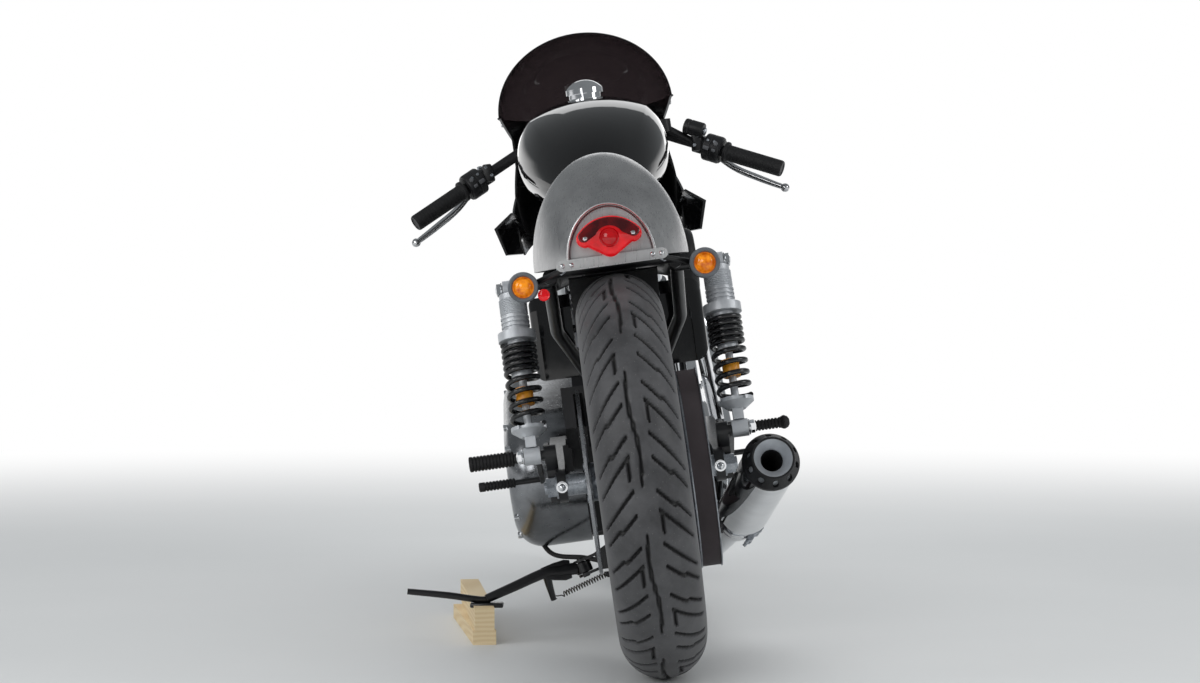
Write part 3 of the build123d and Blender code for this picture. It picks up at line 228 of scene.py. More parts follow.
finishes = {
    # name: dark and light colour, size of the grain in metres, range of the roughness, and what else differs
    # poured lacquer over steel: deep black, a little orange peel under a hard clear coat
    "blackTankLacquer": ("#040405", "#09090a", 0.012, (0.04, 0.07),
                         {"bump": 0.03, "coat": 0.25, "coatRoughness": 0.02}),
    # gel coat on glass fibre: black, glossy, wavier than metal
    "blackGelCoat": ("#070708", "#101012", 0.018, (0.14, 0.24),
                     {"bump": 0.06, "coat": 0.7, "coatRoughness": 0.05}),
    # stoved enamel on tube: black, softened gloss with faint dust in it
    "blackFrameEnamel": ("#08080a", "#131316", 0.004, (0.28, 0.42),
                         {"bump": 0.06, "coat": 0.2, "coatRoughness": 0.2}),
    # wrinkle paint on castings: near black with a tight grain
    "wrinkleBlackCasting": ("#0c0c0e", "#19191c", 0.0016, (0.42, 0.6), {"bump": 0.35, "depth": 0.0004}),
    # hand-brushed sheet aluminium: silver grey with upright lines, drawn about twice as coarse so that they show
    "brushedSheetAluminium": ("#b2b2b3", "#cfcfcf", 0.0022, (0.24, 0.42),
                              {"stretch": (1, 0.5, 0.03), "bump": 0.3, "depth": 0.0003, "metallic": 1.0,
                               "patch": 0.06}),
    # sand-cast aluminium, satin: grey with a peppery skin
    "castAluminium": ("#8b8c8f", "#a6a7aa", 0.0018, (0.34, 0.5), {"bump": 0.2, "metallic": 1.0}),
    # buffed aluminium: bright, slightly soft reflections
    "polishedAluminium": ("#c6c7c9", "#dcdddf", 0.01, (0.08, 0.16), {"bump": 0.03, "metallic": 1.0}),
    # buffed primary case: duller than the small covers, a mirror with soft edges whose dark grey base is a
    # painted reflection of dark surroundings
    "shadedCaseAluminium": ("#7d7f82", "#96989b", 0.008, (0.16, 0.28), {"bump": 0.05, "metallic": 1.0}),
    # bead-blasted and clear anodised shock parts: pale matt grey that stays light in shade
    "blastedShockAluminium": ("#b3b6ba", "#cdd0d3", 0.0014, (0.36, 0.5), {"bump": 0.12, "metallic": 0.45}),
    # turned muffler cone and sleeve: bright satin steel under the black cap
    "turnedConeSteel": ("#aeb2b7", "#d0d4d8", 0.0016, (0.28, 0.42), {"bump": 0.08, "metallic": 0.6}),
    # decorative chrome plate: mirror with a cool cast
    "chromePlate": ("#d3d5d8", "#e6e8ea", 0.02, (0.03, 0.07), {"bump": 0.015, "metallic": 1.0}),
    # ground stainless brake disc: fine circular scratches seen as a satin grey
    "groundDiscSteel": ("#8f9194", "#b4b6b9", 0.0012, (0.22, 0.36),
                        {"stretch": (1, 0.2, 0.2), "bump": 0.1, "metallic": 1.0}),
    # zinc plated steel: pale grey, faintly blue and cloudy
    "zincPlatedSteel": ("#8f949b", "#b9bdc2", 0.003, (0.24, 0.4), {"bump": 0.08, "metallic": 1.0, "patch": 0.01}),
    # powder coat on spring wire: black, a little wavy
    "powderCoatedSpring": ("#060607", "#101012", 0.003, (0.16, 0.28),
                           {"bump": 0.08, "coat": 0.4, "coatRoughness": 0.1}),
    # oiled spring wire: brown grey steel with bright crowns on its coils
    "oiledSpringSteel": ("#46433f", "#6b6660", 0.002, (0.22, 0.36), {"bump": 0.06, "metallic": 1.0}),
    # baked carbon in the outlet: velvet black that gives nothing back
    "exhaustSoot": ("#020202", "#060605", 0.0015, (0.85, 0.98), {"bump": 0.3}),
    # moulded black nylon: dark, grained, dull sheen
    "mouldedBlackNylon": ("#0b0b0c", "#17171a", 0.0011, (0.36, 0.52), {"bump": 0.16}),
    # vulcanised rubber on pegs and grips
    "gripRubber": ("#0a0a0b", "#161618", 0.0014, (0.5, 0.7), {"bump": 0.2}),
    # grey moulding round the indicator lenses
    "greyIndicatorRim": ("#55585c", "#6c7075", 0.0012, (0.3, 0.44), {"bump": 0.08}),
    # pale legends and buttons on the switches, worn satin
    "paleButtonNylon": ("#3c3d40", "#5a5b5e", 0.0012, (0.34, 0.5), {"bump": 0.1}),
    # amber urethane bump rubber: honey colour, waxy
    "amberUrethane": ("#dc8410", "#f6a92b", 0.004, (0.3, 0.42), {"bump": 0.05}),
}
for name, spec in finishes.items():
    makeFinish(name, *spec)
print("plain finishes made:", len(made))


def tyreRubber():
    # road tyre compound: charcoal grey with a chalky bloom, pale dust specks picked up from the floor, and
    # painted shade that darkens the grooves by their depth
    material, shader, place = newMaterial("roadTyreRubber")
    bloom = noise(material, place, 14.0, 5.0, 0.65)
    specks = addNode(material, "ShaderNodeTexVoronoi", {"Vector": place, "Scale": 170.0}).outputs["Distance"]
    dusty = mix(material, spread(material, specks, 0.55, 0.0, 0.05, 0.11),
                tint(material, bloom, "#333335", "#525254", 0.35, 0.72), colour("#8d8b86"))
    # groove depth drives painted shade: the deeper the tread is cut, the nearer to black it is coloured
    depth = addNode(material, "ShaderNodeAttribute", attribute_name="groove").outputs["Fac"]
    feed(material, shader, {
        "Base Color": mix(material, spread(material, depth, 0.0, 1.0, 0.15, 0.7), dusty, colour("#0b0b0c")),
        "Roughness": spread(material, bloom, 0.42, 0.66),
        "Normal": relief(material, noise(material, place, 900.0), 0.12, 0.0003),
        "Sheen Weight": 0.08,
    })


def smokedScreen():
    # dark smoked acrylic: nearly black face on, a brown tint at its thin edges, faint wipe marks
    material, shader, place = newMaterial("smokedAcrylic")
    wipes = addNode(material, "ShaderNodeMapping", {"Vector": place, "Scale": (6, 6, 1.2),
                                                    "Rotation": (0.4, 0.2, 0.6)})
    haze = noise(material, wipes.outputs["Vector"], 7.0, 5.0)
    feed(material, shader, {
        "Base Color": tint(material, haze, "#1b1618", "#262021"),
        "Roughness": spread(material, haze, 0.03, 0.14, 0.45, 0.75),
        "Transmission Weight": 0.8,
        "IOR": 1.49,
    })


lenses = {
    # name: deep and pale colour, painted glow and its strength, size of the clouds in metres
    # clear red of the tail light, brightened by a painted glow
    "redAcrylicLens": ("#b3020d", "#e0101c", "#ff1018", 0.2, 0.02),
    # a thicker red for the tail light's round eye
    "eyeRedLens": ("#96000a", "#b8040f", "#e00810", 0.1, 0.02),
    # blood red, nearly black, for the hooded band
    "deepRedLens": ("#2c0004", "#5e0209", "#8a0008", 0.06, 0.02),
    # amber over a bulb, with brown pools, pale patches of painted highlight and a painted glow
    "amberAcrylicLens": ("#a84300", "#ffa21e", "#ff8a10", 0.2, 0.012),
}


def castLens(name, deep, pale, paintedGlow, power, patch):
    # moulded acrylic lens: noise clouds from deep to pale colour, dark pools and, on the amber lens, pale patches
    # of painted highlight; a painted glow brightens every lens
    material, shader, place = newMaterial(name)
    pool = noise(material, place, 1 / patch)
    feed(material, shader, {
        "Base Color": tint(material, pool, deep, pale, 0.36, 0.64),
        "Normal": relief(material, pool, 0.05, 0.0004),
        "Roughness": 0.08,
        "IOR": 1.49,
        "Transmission Weight": 0.12,
        # painted glow: the lens gives off light of its own
        "Emission Color": colour(paintedGlow),
        "Emission Strength": power,
        "Coat Weight": 0.15,
    })


def headlampGlass():
    # pressed lamp glass: clear and cold with upright flutes that break up what lies behind it
    material, shader, place = newMaterial("headlampGlass")
    flutes = addNode(material, "ShaderNodeTexWave", {"Vector": place, "Scale": 28.0, "Distortion": 0.0},
                     bands_direction="X").outputs["Fac"]
    feed(material, shader, {
        "Base Color": tint(material, flutes, "#c9d0d2", "#eef2f3"),
        "Normal": relief(material, flutes, 0.3, 0.0015),
        "Roughness": 0.05,
        "IOR": 1.5,
        "Transmission Weight": 0.25,
    })


def driveBeltCloth():
    # fabric-faced belt: brown grey with a fine weave, drawn coarser than it is so that it shows
    material, shader, place = newMaterial("driveBeltCloth")
    feed(material, shader, {
        "Base Color": tint(material, noise(material, place, 18.0, 4.0), "#2a2325", "#4a4144"),
        "Normal": relief(material, noise(material, place, 420.0), 0.3, 0.0005),
        "Roughness": 0.68,
    })


def sawnPine():
    # pale sawn softwood: straight darker growth lines along the batten, fuzzy saw marks across it
    material, shader, place = newMaterial("sawnPine")
    along = addNode(material, "ShaderNodeMapping", {"Vector": place, "Scale": (1, 0.06, 1),
                                                    "Rotation": (0, 0, math.radians(-7))}).outputs["Vector"]
    rings = addNode(material, "ShaderNodeTexWave", {"Vector": along, "Scale": 40.0, "Distortion": 1.2,
                                                    "Detail": 3.0}, wave_type="RINGS").outputs["Fac"]
    feed(material, shader, {
        "Base Color": tint(material, rings, "#d9c197", "#e4d0aa"),
        "Normal": relief(material, noise(material, along, 900.0), 0.35, 0.0006),
        "Roughness": 0.75,
    })


def grainedLeather():
    # black seat hide: small pebbled grain, dull sheen on the crown
    material, shader, place = newMaterial("grainedBlackLeather")
    pebbles = addNode(material, "ShaderNodeTexVoronoi", {"Vector": place, "Scale": 420.0}).outputs["Distance"]
    feed(material, shader, {
        "Base Color": tint(material, noise(material, place, 20.0, 4.0), "#0c0b0a", "#1c1a18"),
        "Normal": relief(material, pebbles, 0.35, 0.0006),
        "Roughness": 0.48,
    })


for name, spec in lenses.items():
    castLens(name, *spec)
for makeMaterial in (tyreRubber, smokedScreen, headlampGlass, driveBeltCloth, sawnPine, grainedLeather):
    makeMaterial()

nodeFinish = {
    "blackFrameEnamel": ("frame", "swingarm", "side_stand", "rear_fender", "front_fender", "foot_controls",
                         "fairing_stay", "belt_guard", "triple_clamps"),
    "wrinkleBlackCasting": ("crankcase", "cylinders", "air_cleaner", "rear_caliper", "front_caliper", "clip_ons",
                            "muffler_cap"),
    "polishedAluminium": ("right_covers", "levers"),
    "shadedCaseAluminium": ("primary_cover",),
    "turnedConeSteel": ("muffler_core",),
    "castAluminium": ("fork_sliders",),
    "blastedShockAluminium": ("shock_bodies", "shock_rods"),
    "chromePlate": ("exhaust_headers", "muffler", "tank_cap", "fork_tubes", "axle_adjusters"),
    "brushedSheetAluminium": ("tail_cowl", "plate_strip"),
    "blackTankLacquer": ("fuel_tank", "side_covers"),
    "blackGelCoat": ("fairing",),
    "mouldedBlackNylon": ("indicators", "switchgear", "headlight"),
    "gripRubber": ("grips", "foot_pegs", "overflow_hose"),
    "groundDiscSteel": ("rear_disc", "front_disc"),
    "zincPlatedSteel": ("rear_axle", "front_axle", "rear_wheel", "front_wheel", "rear_pulley", "drive_pulley"),
    "powderCoatedSpring": ("shock_springs",),
    "amberUrethane": ("bump_stops",),
    "roadTyreRubber": ("rear_tyre", "front_tyre"),
    "smokedAcrylic": ("screen",),
    "redAcrylicLens": ("tail_light",),
    "amberAcrylicLens": ("indicator_lenses",),
    "driveBeltCloth": ("drive_belt",),
    "sawnPine": ("wood_battens",),
    "grainedBlackLeather": ("seat",),
}
for finish, names in nodeFinish.items():
    for name in names:
        nodes[name].data.materials.clear()
        nodes[name].data.materials.append(made[finish])
missing = sorted(set(nodes) - {n for names in nodeFinish.values() for n in names})
print("nodes without a finish:", missing)


# shapes that several pieces share; these take millimetres

def aimPiece(piece, at, along):
    # the piece's own Z comes to lie along the direction
    piece.location = Vector(at) / 1000
    piece.rotation_euler = Vector(along).to_track_quat("Z", "Y").to_euler()
    return piece


def lathe(name, profile, around=40, at=(0, 0, 0), along=(0, 0, 1), loop=False):
    # a ring of points is drawn out along its axis and widened or narrowed from step to step
    clearSelection()
    bpy.ops.mesh.primitive_circle_add(vertices=around, radius=profile[0][0] / 1000)
    editAll()
    bpy.ops.transform.translate(value=(0, 0, profile[0][1] / 1000))
    for (r0, z0), (r1, z1) in zip(profile, profile[1:]):
        bpy.ops.mesh.extrude_region_move(TRANSFORM_OT_translate={"value": (0, 0, (z1 - z0) / 1000)})
        if r1 != r0:
            grow = r1 / r0
            bpy.ops.transform.resize(value=(grow, grow, 1), center_override=(0, 0, z1 / 1000))
    if not loop:
        bpy.ops.mesh.select_all(action="SELECT")
        bpy.ops.mesh.fill_holes(sides=0)
    closeEdit(merge=loop)
    return aimPiece(nameNew(name), at, along)


def ribs(radius, change, starts, steps):
    # rings cut into a turned profile, or standing on it, one from each start
    first, second, last = steps
    profile = []
    for a in starts:
        profile += [(radius, a), (radius + change, a + first), (radius + change, a + second), (radius, a + last)]
    return profile


def copies(name, model, places):
    # places are (at, along); the model is used up
    parts = []
    for at, along in places:
        twin = model.copy()
        twin.data = model.data.copy()
        bpy.context.scene.collection.objects.link(aimPiece(twin, at, along))
        parts.append(twin)
    bpy.data.objects.remove(model)
    return joinAll(name, parts)


def fasten(name, profile, places, finish, body="chassis", around=20, loop=False):
    # one small turned piece, copied to its places
    model = lathe("fastener", profile, around=around, loop=loop)
    settle(copies(name, model, places), finish, body=body)


def slab(name, outline, layers, at, turn=(90, 0, 0)):
    # outline in the local plane; layers are (height, growth of the outline in millimetres)
    clearSelection()
    bpy.ops.mesh.primitive_circle_add(vertices=len(outline), radius=1, fill_type="NGON")
    piece = nameNew(name)
    for vertex, (x, y) in zip(piece.data.vertices, outline):
        vertex.co = (x / 1000, y / 1000, layers[0][0] / 1000)
    half = max(abs(x) for x, y in outline)
    middle = sum(y for x, y in outline) / len(outline)
    tall = (max(y for x, y in outline) - min(y for x, y in outline)) / 2
    editAll()
    for (z0, grow0), (z1, grow1) in zip(layers, layers[1:]):
        bpy.ops.mesh.extrude_region_move(TRANSFORM_OT_translate={"value": (0, 0, (z1 - z0) / 1000)})
        wide = (half + grow1) / (half + grow0)
        high = (tall + grow1) / (tall + grow0)
        bpy.ops.transform.resize(value=(wide, high, 1), center_override=(0, middle / 1000, z1 / 1000))
    closeEdit()
    piece.location = Vector(at) / 1000
    piece.rotation_euler = [math.radians(a) for a in turn]
    return piece


def arcPoints(a, b, c, count):
    # points on the circle through a, b and c, from a to c
    ax, ay, bx, by, cx, cy = (*a, *b, *c)
    d = 2 * (ax * (by - cy) + bx * (cy - ay) + cx * (ay - by))
    ux = ((ax**2 + ay**2) * (by - cy) + (bx**2 + by**2) * (cy - ay) + (cx**2 + cy**2) * (ay - by)) / d
    uy = ((ax**2 + ay**2) * (cx - bx) + (bx**2 + by**2) * (ax - cx) + (cx**2 + cy**2) * (bx - ax)) / d
    start, middle, end = (math.atan2(p[1] - uy, p[0] - ux) for p in (a, b, c))
    sweep = (end - start) % (2 * math.pi)
    if (middle - start) % (2 * math.pi) > sweep:
        sweep -= 2 * math.pi
    radius = math.hypot(ax - ux, ay - uy)
    return [(ux + radius * math.cos(start + sweep * i / (count - 1)),
             uy + radius * math.sin(start + sweep * i / (count - 1))) for i in range(count)]


def tube(name, points, radius, sides=4, radii=None, closed=False):
    # round bar through the points; radii are shares of the radius, one a point
    clearSelection()
    bpy.ops.curve.primitive_nurbs_path_add()
    bar = bpy.context.object.data
    bar.splines.clear()
    line = bar.splines.new("POLY")
    line.points.add(len(points) - 1)
    for spot, p, share in zip(line.points, points, radii or [1] * len(points)):
        spot.co = (p[0] / 1000, p[1] / 1000, p[2] / 1000, 1)
        spot.radius = share
    line.use_cyclic_u = closed
    bar.bevel_depth = radius / 1000
    bar.bevel_resolution = sides
    bar.use_fill_caps = not closed
    bpy.ops.object.convert(target="MESH")
    editAll()
    closeEdit(merge=True)
    return nameNew(name)


def smoothLine(points, steps):
    # a curve through the points, for hoses and levers
    out = []
    ends = [points[0], *points, points[-1]]
    for p0, p1, p2, p3 in zip(ends, ends[1:], ends[2:], ends[3:]):
        for i in range(steps):
            t = i / steps
            out.append(tuple(0.5 * (2 * b + (c - a) * t + (2 * a - 5 * b + 4 * c - d) * t**2
                                    + (3 * b - a - 3 * c + d) * t**3) for a, b, c, d in zip(p0, p1, p2, p3)))
    out.append(tuple(points[-1]))
    return out


def softBox(name, size, at, edge, turn=(0, 0, 0)):
    # a box with its edges rounded
    clearSelection()
    bpy.ops.mesh.primitive_cube_add(size=1, location=Vector(at) / 1000, rotation=[math.radians(a) for a in turn])
    piece = nameNew(name)
    piece.scale = Vector(size) / 1000
    bpy.ops.object.transform_apply(location=False, rotation=False, scale=True)
    bevel = piece.modifiers.new("edges", "BEVEL")
    bevel.width = edge / 1000
    bevel.segments = 2
    return applyAll(piece)


def barPoint(side, k):
    # on the handlebar's axis: 0 at the inner end of the grip, 1 at its outer end
    inner, outer = (266.0, 1097.0, 861.8), (368.0, 1060.0, 810.8)
    x, y, z = (a + k * (b - a) for a, b in zip(inner, outer))
    return Vector((side * x, y, z))


# tyres

tread = {
    "depth": 5.0,
    "slotWidth": 5.4,
    "wall": 1.8,              # width over which a groove's wall falls
    "waveSlots": 8,           # round the middle
    "waveSpan": 34.0,         # degrees of the wheel that one covers
    "wave": (-4.5, 4.3),      # its middle line and its swing
    "repeats": 12,            # groups of side grooves a turn
    "lines": ((0.0, False), (9.3, True), (14.5, False), (23.4, False)),    # place in the group, hooked at its top
    "from": 14.0,             # degrees across the crown where the side grooves start
    "to": 67.0,
    "drop": 11.5,             # degrees of the wheel that a groove falls on its way out
    "wheel": 320,             # radius that the side grooves are laid out on
    "slant": 0.74,            # share of its width round the wheel that a slanting groove measures across
    "jog": (1.3, 36, 6),      # a plain groove's sidestep in degrees, where across it starts, and its length
    "taper": (0.35, 40, 27),  # share that a side groove narrows by, where across it starts, and its length
    "hook": (17, -6.0, 0.6),  # where across a hook lies, and its ends round the wheel
    "hookWidth": 0.9,         # as a share of the groove's
}
tyres = {
    # radius of the crown and of its arc's centre, bead shape, axle, share of the rear's grooves, columns, rows
    "rearTyre": {"crown": 69.0, "arcRadius": 251.0, "side": ((48, 220), (41.7, 215), (41.7, 205.3)),
                 "axle": stance["rearAxle"], "groove": 1.0, "columns": 72, "rows": 960},
    "frontTyre": {"crown": 50.0, "arcRadius": 281.0, "side": ((35, 256), (28.7, 251), (28.7, 241.3)),
                  "axle": stance["frontAxle"], "groove": 0.8, "columns": 60, "rows": 768},
}


def smoothStep(t):
    t = max(0.0, min(1.0, t))
    return t * t * (3 - 2 * t)


def grooveDepth(turnAt, across, crown, share):
    # turnAt is the angle round the wheel and across the angle over the crown, both in degrees
    half = tread["slotWidth"] * share / 2
    wall, start, end = tread["wall"], tread["from"], tread["to"]
    sidestep, jogFrom, jogOver = tread["jog"]
    narrowed, taperFrom, taperOver = tread["taper"]
    hookAt, hookFrom, hookTo = tread["hook"]
    outer = abs(across)
    crownMm = math.radians(1) * crown             # millimetres in a degree over the crown
    wheelMm = math.radians(1) * tread["wheel"]    # and round the wheel
    best = 0.0
    t = (turnAt % (360 / tread["waveSlots"])) / tread["waveSpan"]
    if t < 1 and outer < start:
        middle, swing = tread["wave"]
        wave = middle + swing * math.sin(2 * math.pi * t)
        narrow = half * min(1.0, 0.25 + 4 * min(t, 1 - t))
        best = smoothStep((narrow - abs(math.radians(across) * crown - wave)) / wall + 0.5)
    group = 360 / tread["repeats"]
    if start - 3 < outer < end + 3:
        fall = tread["drop"] * (outer - start) / (end - start)
        place = (turnAt + fall + (group / 2 if across > 0 else 0)) % group
        ends = min(outer - start, end - outer) * crownMm
        for at, hooked in tread["lines"]:
            jog = 0.0 if hooked or at == 0 else sidestep * smoothStep((outer - jogFrom) / jogOver)
            gap = (place - at - jog + group / 2) % group - group / 2
            width = half * (1.0 - narrowed * smoothStep((outer - taperFrom) / taperOver))
            d = abs(gap) * wheelMm * tread["slant"]
            best = max(best, smoothStep((width - d) / wall + 0.5) * smoothStep(ends / 2 + 0.5))
            if hooked and hookFrom < gap < hookTo:
                d = abs(outer - hookAt) * crownMm
                best = max(best, smoothStep((half * tread["hookWidth"] - d) / wall + 0.5))
    return tread["depth"] * share * best


def treadedTyre(name, body, node):
    spec = tyres[name]
    columns, rows, crown, side = spec["columns"], spec["rows"], spec["crown"], spec["side"]
    left = [(-x, r) for x, r in reversed(side)]
    total = columns + 2 * len(side)
    clearSelection()
    bpy.ops.mesh.primitive_grid_add(x_subdivisions=total, y_subdivisions=rows, size=2)
    piece = nameNew(name)
    # each point keeps its groove depth as a share, which the rubber uses for painted shade in the grooves
    grooveShadeDepths = piece.data.attributes.new("groove", "FLOAT", "POINT")
    for vertex in piece.data.vertices:
        i = round((vertex.co.x + 1) / 2 * total)
        turnAt = 360 * (round((vertex.co.y + 1) / 2 * rows) % rows) / rows
        if i < len(side):
            x, r = left[i]
        elif i > total - len(side):
            x, r = side[i - total + len(side) - 1]
        else:
            across = 180 * (i - len(side)) / columns - 90
            cut = grooveDepth(turnAt, across, crown, spec["groove"])
            grooveShadeDepths.data[vertex.index].value = cut / tread["depth"] / spec["groove"]
            x = (crown - cut) * math.sin(math.radians(across))
            r = spec["arcRadius"] + (crown - cut) * math.cos(math.radians(across))
        a = math.radians(turnAt)
        vertex.co = (x / 1000, -r * math.cos(a) / 1000, r * math.sin(a) / 1000)
    editAll()
    bpy.ops.mesh.remove_doubles(threshold=1e-6)
    bpy.ops.mesh.select_all(action="DESELECT")
    bpy.ops.mesh.select_non_manifold()
    bpy.ops.mesh.bridge_edge_loops()
    closeEdit()
    piece.location = spec["axle"]
    settle(piece, "roadTyreRubber", body=body, angle=50, replaced=(node,))


treadedTyre("rearTyre", "rear_wheel_set", "rear_tyre")
treadedTyre("frontTyre", "front_wheel_set", "front_tyre")
print("tyres treaded")


# tail light, number strip and indicators

tailLight = {
    "back": -91.3,            # rear face of the strip
    "foot": 665.5,
    "thick": 24,
    "eye": (0, 30, 15),
    "ears": ((-36.9, 32.5), (36.9, 32.5)),
}


def makeTailLight():
    half = [(0, 0), (7, 1.5), (34, 18.8), (50.8, 31.5), (45.5, 43), (0, 63.1)]
    left = [(-x, z) for x, z in half]
    outline = (arcPoints(left[1], half[0], half[1], 5) + arcPoints(half[2], half[3], half[4], 13)
               + arcPoints(half[4], half[5], left[4], 33)[1:-1] + arcPoints(left[4], left[3], left[2], 13))
    at = (0, tailLight["back"], tailLight["foot"])
    body = slab("tailLightLens", outline, [(0, 0), (17, 0), (20, -0.6), (22.5, -2.2), (24, -5)], at)
    settle(body, "redAcrylicLens", angle=30, replaced=("tail_light",))
    # the hooded upper band is a darker, thicker arch with round ends
    arch = (arcPoints((-47.5, 38), (0, 61.2), (47.5, 38), 33) + arcPoints((47.5, 38), (44, 29), (35, 27.5), 9)[1:]
            + arcPoints((20.5, 36), (0, 48.5), (-20.5, 36), 21)
            + arcPoints((-35, 27.5), (-44, 29), (-47.5, 38), 9)[:-1])
    band = slab("tailLightBand", arch, [(20, 0), (26, 0), (28, -0.8), (29, -2)], at)
    settle(band, "deepRedLens", angle=30)
    x, z, r = tailLight["eye"]
    front = tailLight["back"] - tailLight["thick"]
    eye = lathe("tailLightEye", [(r, -4), (r, 1.5), (r - 1.5, 3), (r - 3.5, 3), (r - 4, 2.2), (r - 7, 3.6),
                                 (r - 10, 4.4), (1, 4.8)], at=(x, front, tailLight["foot"] + z), along=(0, -1, 0))
    settle(eye, "eyeRedLens", angle=30)
    fasten("tailLightScrews", [(3.4, -3), (3.4, 1), (2.6, 2), (1.2, 2.2), (1.1, 0.8)],
           [((x, front - 5, tailLight["foot"] + z), (0, -1, 0)) for x, z in tailLight["ears"]], "chromePlate")


makeTailLight()
fasten("stripRivets", [(3.8, -0.5), (3.8, 0.6), (2.9, 1.8), (1.4, 2.5)],
       [((x, -91, 661.5), (0, -1, 0)) for x in (-77, -63, 63, 77)], "polishedAluminium")
fasten("indicatorRims", [(17.1, -1), (17.1, 1.5), (18.6, 3.4), (21.8, 3.6), (23.8, 2), (23.9, -1), (17.1, -1)],
       [((x, -67, 638), (0, -1, 0)) for x in (-142, 142)], "greyIndicatorRim", around=48,
       loop=True)
fasten("stalkNuts", [(7, 0), (8, 0.8), (8, 5.2), (7, 6)],
       [((x, -74, 655.8), (0, -1, 0)) for x in (-80, 80)], "zincPlatedSteel", around=6)
print("tail light and indicators dressed")


# tail cowl: a rolled rim round the recess and its back panel's seam

def archLine(wide, tall, y, step):
    # half an ellipse that stands on the recess's foot
    turns = [math.radians(a) for a in range(0, 181, step)]
    return [(wide * math.cos(a), y, 661 + tall * math.sin(a)) for a in turns]


settle(tube("cowlRim", archLine(68.0, 88.0, -88.5, 4), 2.4), "brushedSheetAluminium")
settle(tube("cowlSeam", archLine(64.5, 84.0, -72.6, 5), 1.3, sides=2), "castAluminium")
print("cowl dressed")


# seat pad

seatPad = {
    "size": (208, 334, 50),       # a little under the solid, because the pad swells
    "centre": (0, 305, 707),
    "top": 700,                   # a point above this height is on the upper face
    "foot": 679.5,                # the filling pushes no point below this height
    "channels": (182, 222, 262, 302, 342, 382, 422),
    "channelDepth": 4.0,
    "channelHalf": 94,            # half the length of a channel across the seat
    "channelSides": 7,            # how far to each side it falls
    "channelEnds": 8,             # how far its ends rise
    "dish": (330, 170, 6),        # where the seat is lowest, the length of its rise, and its depth
    "cap": 6.0,                   # how far the filling may push a point
    "edge": 16,
    "voxel": 6,
    "pressure": 4,
    "frames": 20,
    "outline": (104, 168, 30),    # of the piping and the pan: half width, half length, corner
    "piping": (684.5, 2.6),       # height and radius
    "panFoot": 676.6,
}


def smoothLoop(halfWide, halfLong, corner):
    # outline of a rectangle with round corners, anticlockwise
    points = []
    for cx, cy, first in ((1, 1, 0), (-1, 1, 90), (-1, -1, 180), (1, -1, 270)):
        for i in range(9):
            a = math.radians(first + 90 * i / 8)
            points.append((cx * (halfWide - corner) + corner * math.cos(a),
                           cy * (halfLong - corner) + corner * math.sin(a)))
    return points


def makeSeatPad():
    pad = softBox("seatPad", seatPad["size"], seatPad["centre"], seatPad["edge"])
    pick(pad)
    bpy.ops.object.transform_apply(location=True, rotation=True, scale=True)
    remesh = pad.modifiers.new("skin", "REMESH")
    remesh.mode = "VOXEL"
    remesh.voxel_size = seatPad["voxel"] / 1000
    applyAll(pad)
    lowest, rise, dip = seatPad["dish"]
    for vertex in pad.data.vertices:
        # dished for the rider, higher against the tail
        if vertex.co.z > seatPad["top"] / 1000:
            vertex.co.z += (dip * ((vertex.co.y * 1000 - lowest) / rise) ** 2 - dip) / 1000
    before = [vertex.co.copy() for vertex in pad.data.vertices]
    cloth = pad.modifiers.new("filling", "CLOTH")
    cloth.settings.use_pressure = True
    cloth.settings.uniform_pressure_force = seatPad["pressure"]
    cloth.settings.effector_weights.gravity = 0
    for step in range(1, seatPad["frames"] + 1):
        bpy.context.scene.frame_set(step)
    applyAll(pad)
    bpy.context.scene.frame_set(1)
    for vertex, old in zip(pad.data.vertices, before):
        move = vertex.co - old
        cap = seatPad["cap"] / 1000
        if move.length > cap:
            vertex.co = old + move * (cap / move.length)
        vertex.co.z = max(vertex.co.z, seatPad["foot"] / 1000)
    finer = pad.modifiers.new("finer", "SUBSURF")
    finer.levels = 1
    finer.render_levels = 1
    applyAll(pad)
    half, sides, ends = (seatPad[key] for key in ("channelHalf", "channelSides", "channelEnds"))
    for vertex in pad.data.vertices:
        if vertex.co.z > seatPad["top"] / 1000 and abs(vertex.co.x) < half / 1000:
            dip = max(smoothStep(1 - abs(vertex.co.y * 1000 - c) / sides) for c in seatPad["channels"])
            edge = smoothStep((half - abs(vertex.co.x * 1000)) / ends)
            vertex.co.z -= seatPad["channelDepth"] * dip * edge / 1000
    settle(pad, "grainedBlackLeather", angle=60, replaced=("seat",))
    outline = smoothLoop(*seatPad["outline"])
    middle = seatPad["centre"][1]
    z, radius = seatPad["piping"]
    piping = tube("seatPiping", [(x, y + middle, z) for x, y in outline], radius, closed=True)
    settle(piping, "grainedBlackLeather")
    pan = slab("seatPan", outline, [(0, -3), (1.2, -1.5), (5, -1.5), (6.4, -4)],
               at=(0, middle, seatPad["panFoot"]), turn=(0, 0, 0))
    settle(pan, "mouldedBlackNylon")


makeSeatPad()
print("seat pad made")


# shock absorbers

shock = {
    "foot": (166, 25, 372.04),
    "top": (166, 100, 640),
    "springRadius": 25.0,
    "wire": 4.2,
    "runs": ((19, 9), (9.6, 10)),     # pitch and half turns, from the foot up
    "springStart": 52,
    "turnPoints": 28,                 # points in one turn of the spring
    "thread": (21.2, 1.4, 233, 260, 3),     # core's radius, height of a ridge, start, end and pitch
    "collar": (197, 29.2, 11, 2.2),   # place, radius between the lugs, depth, height of a lug
    "studX": 182,
}


def shockPoint(side, along):
    foot, top = Vector(shock["foot"]), Vector(shock["top"])
    p = foot + (top - foot).normalized() * along
    return Vector((side * p.x, p.y, p.z))


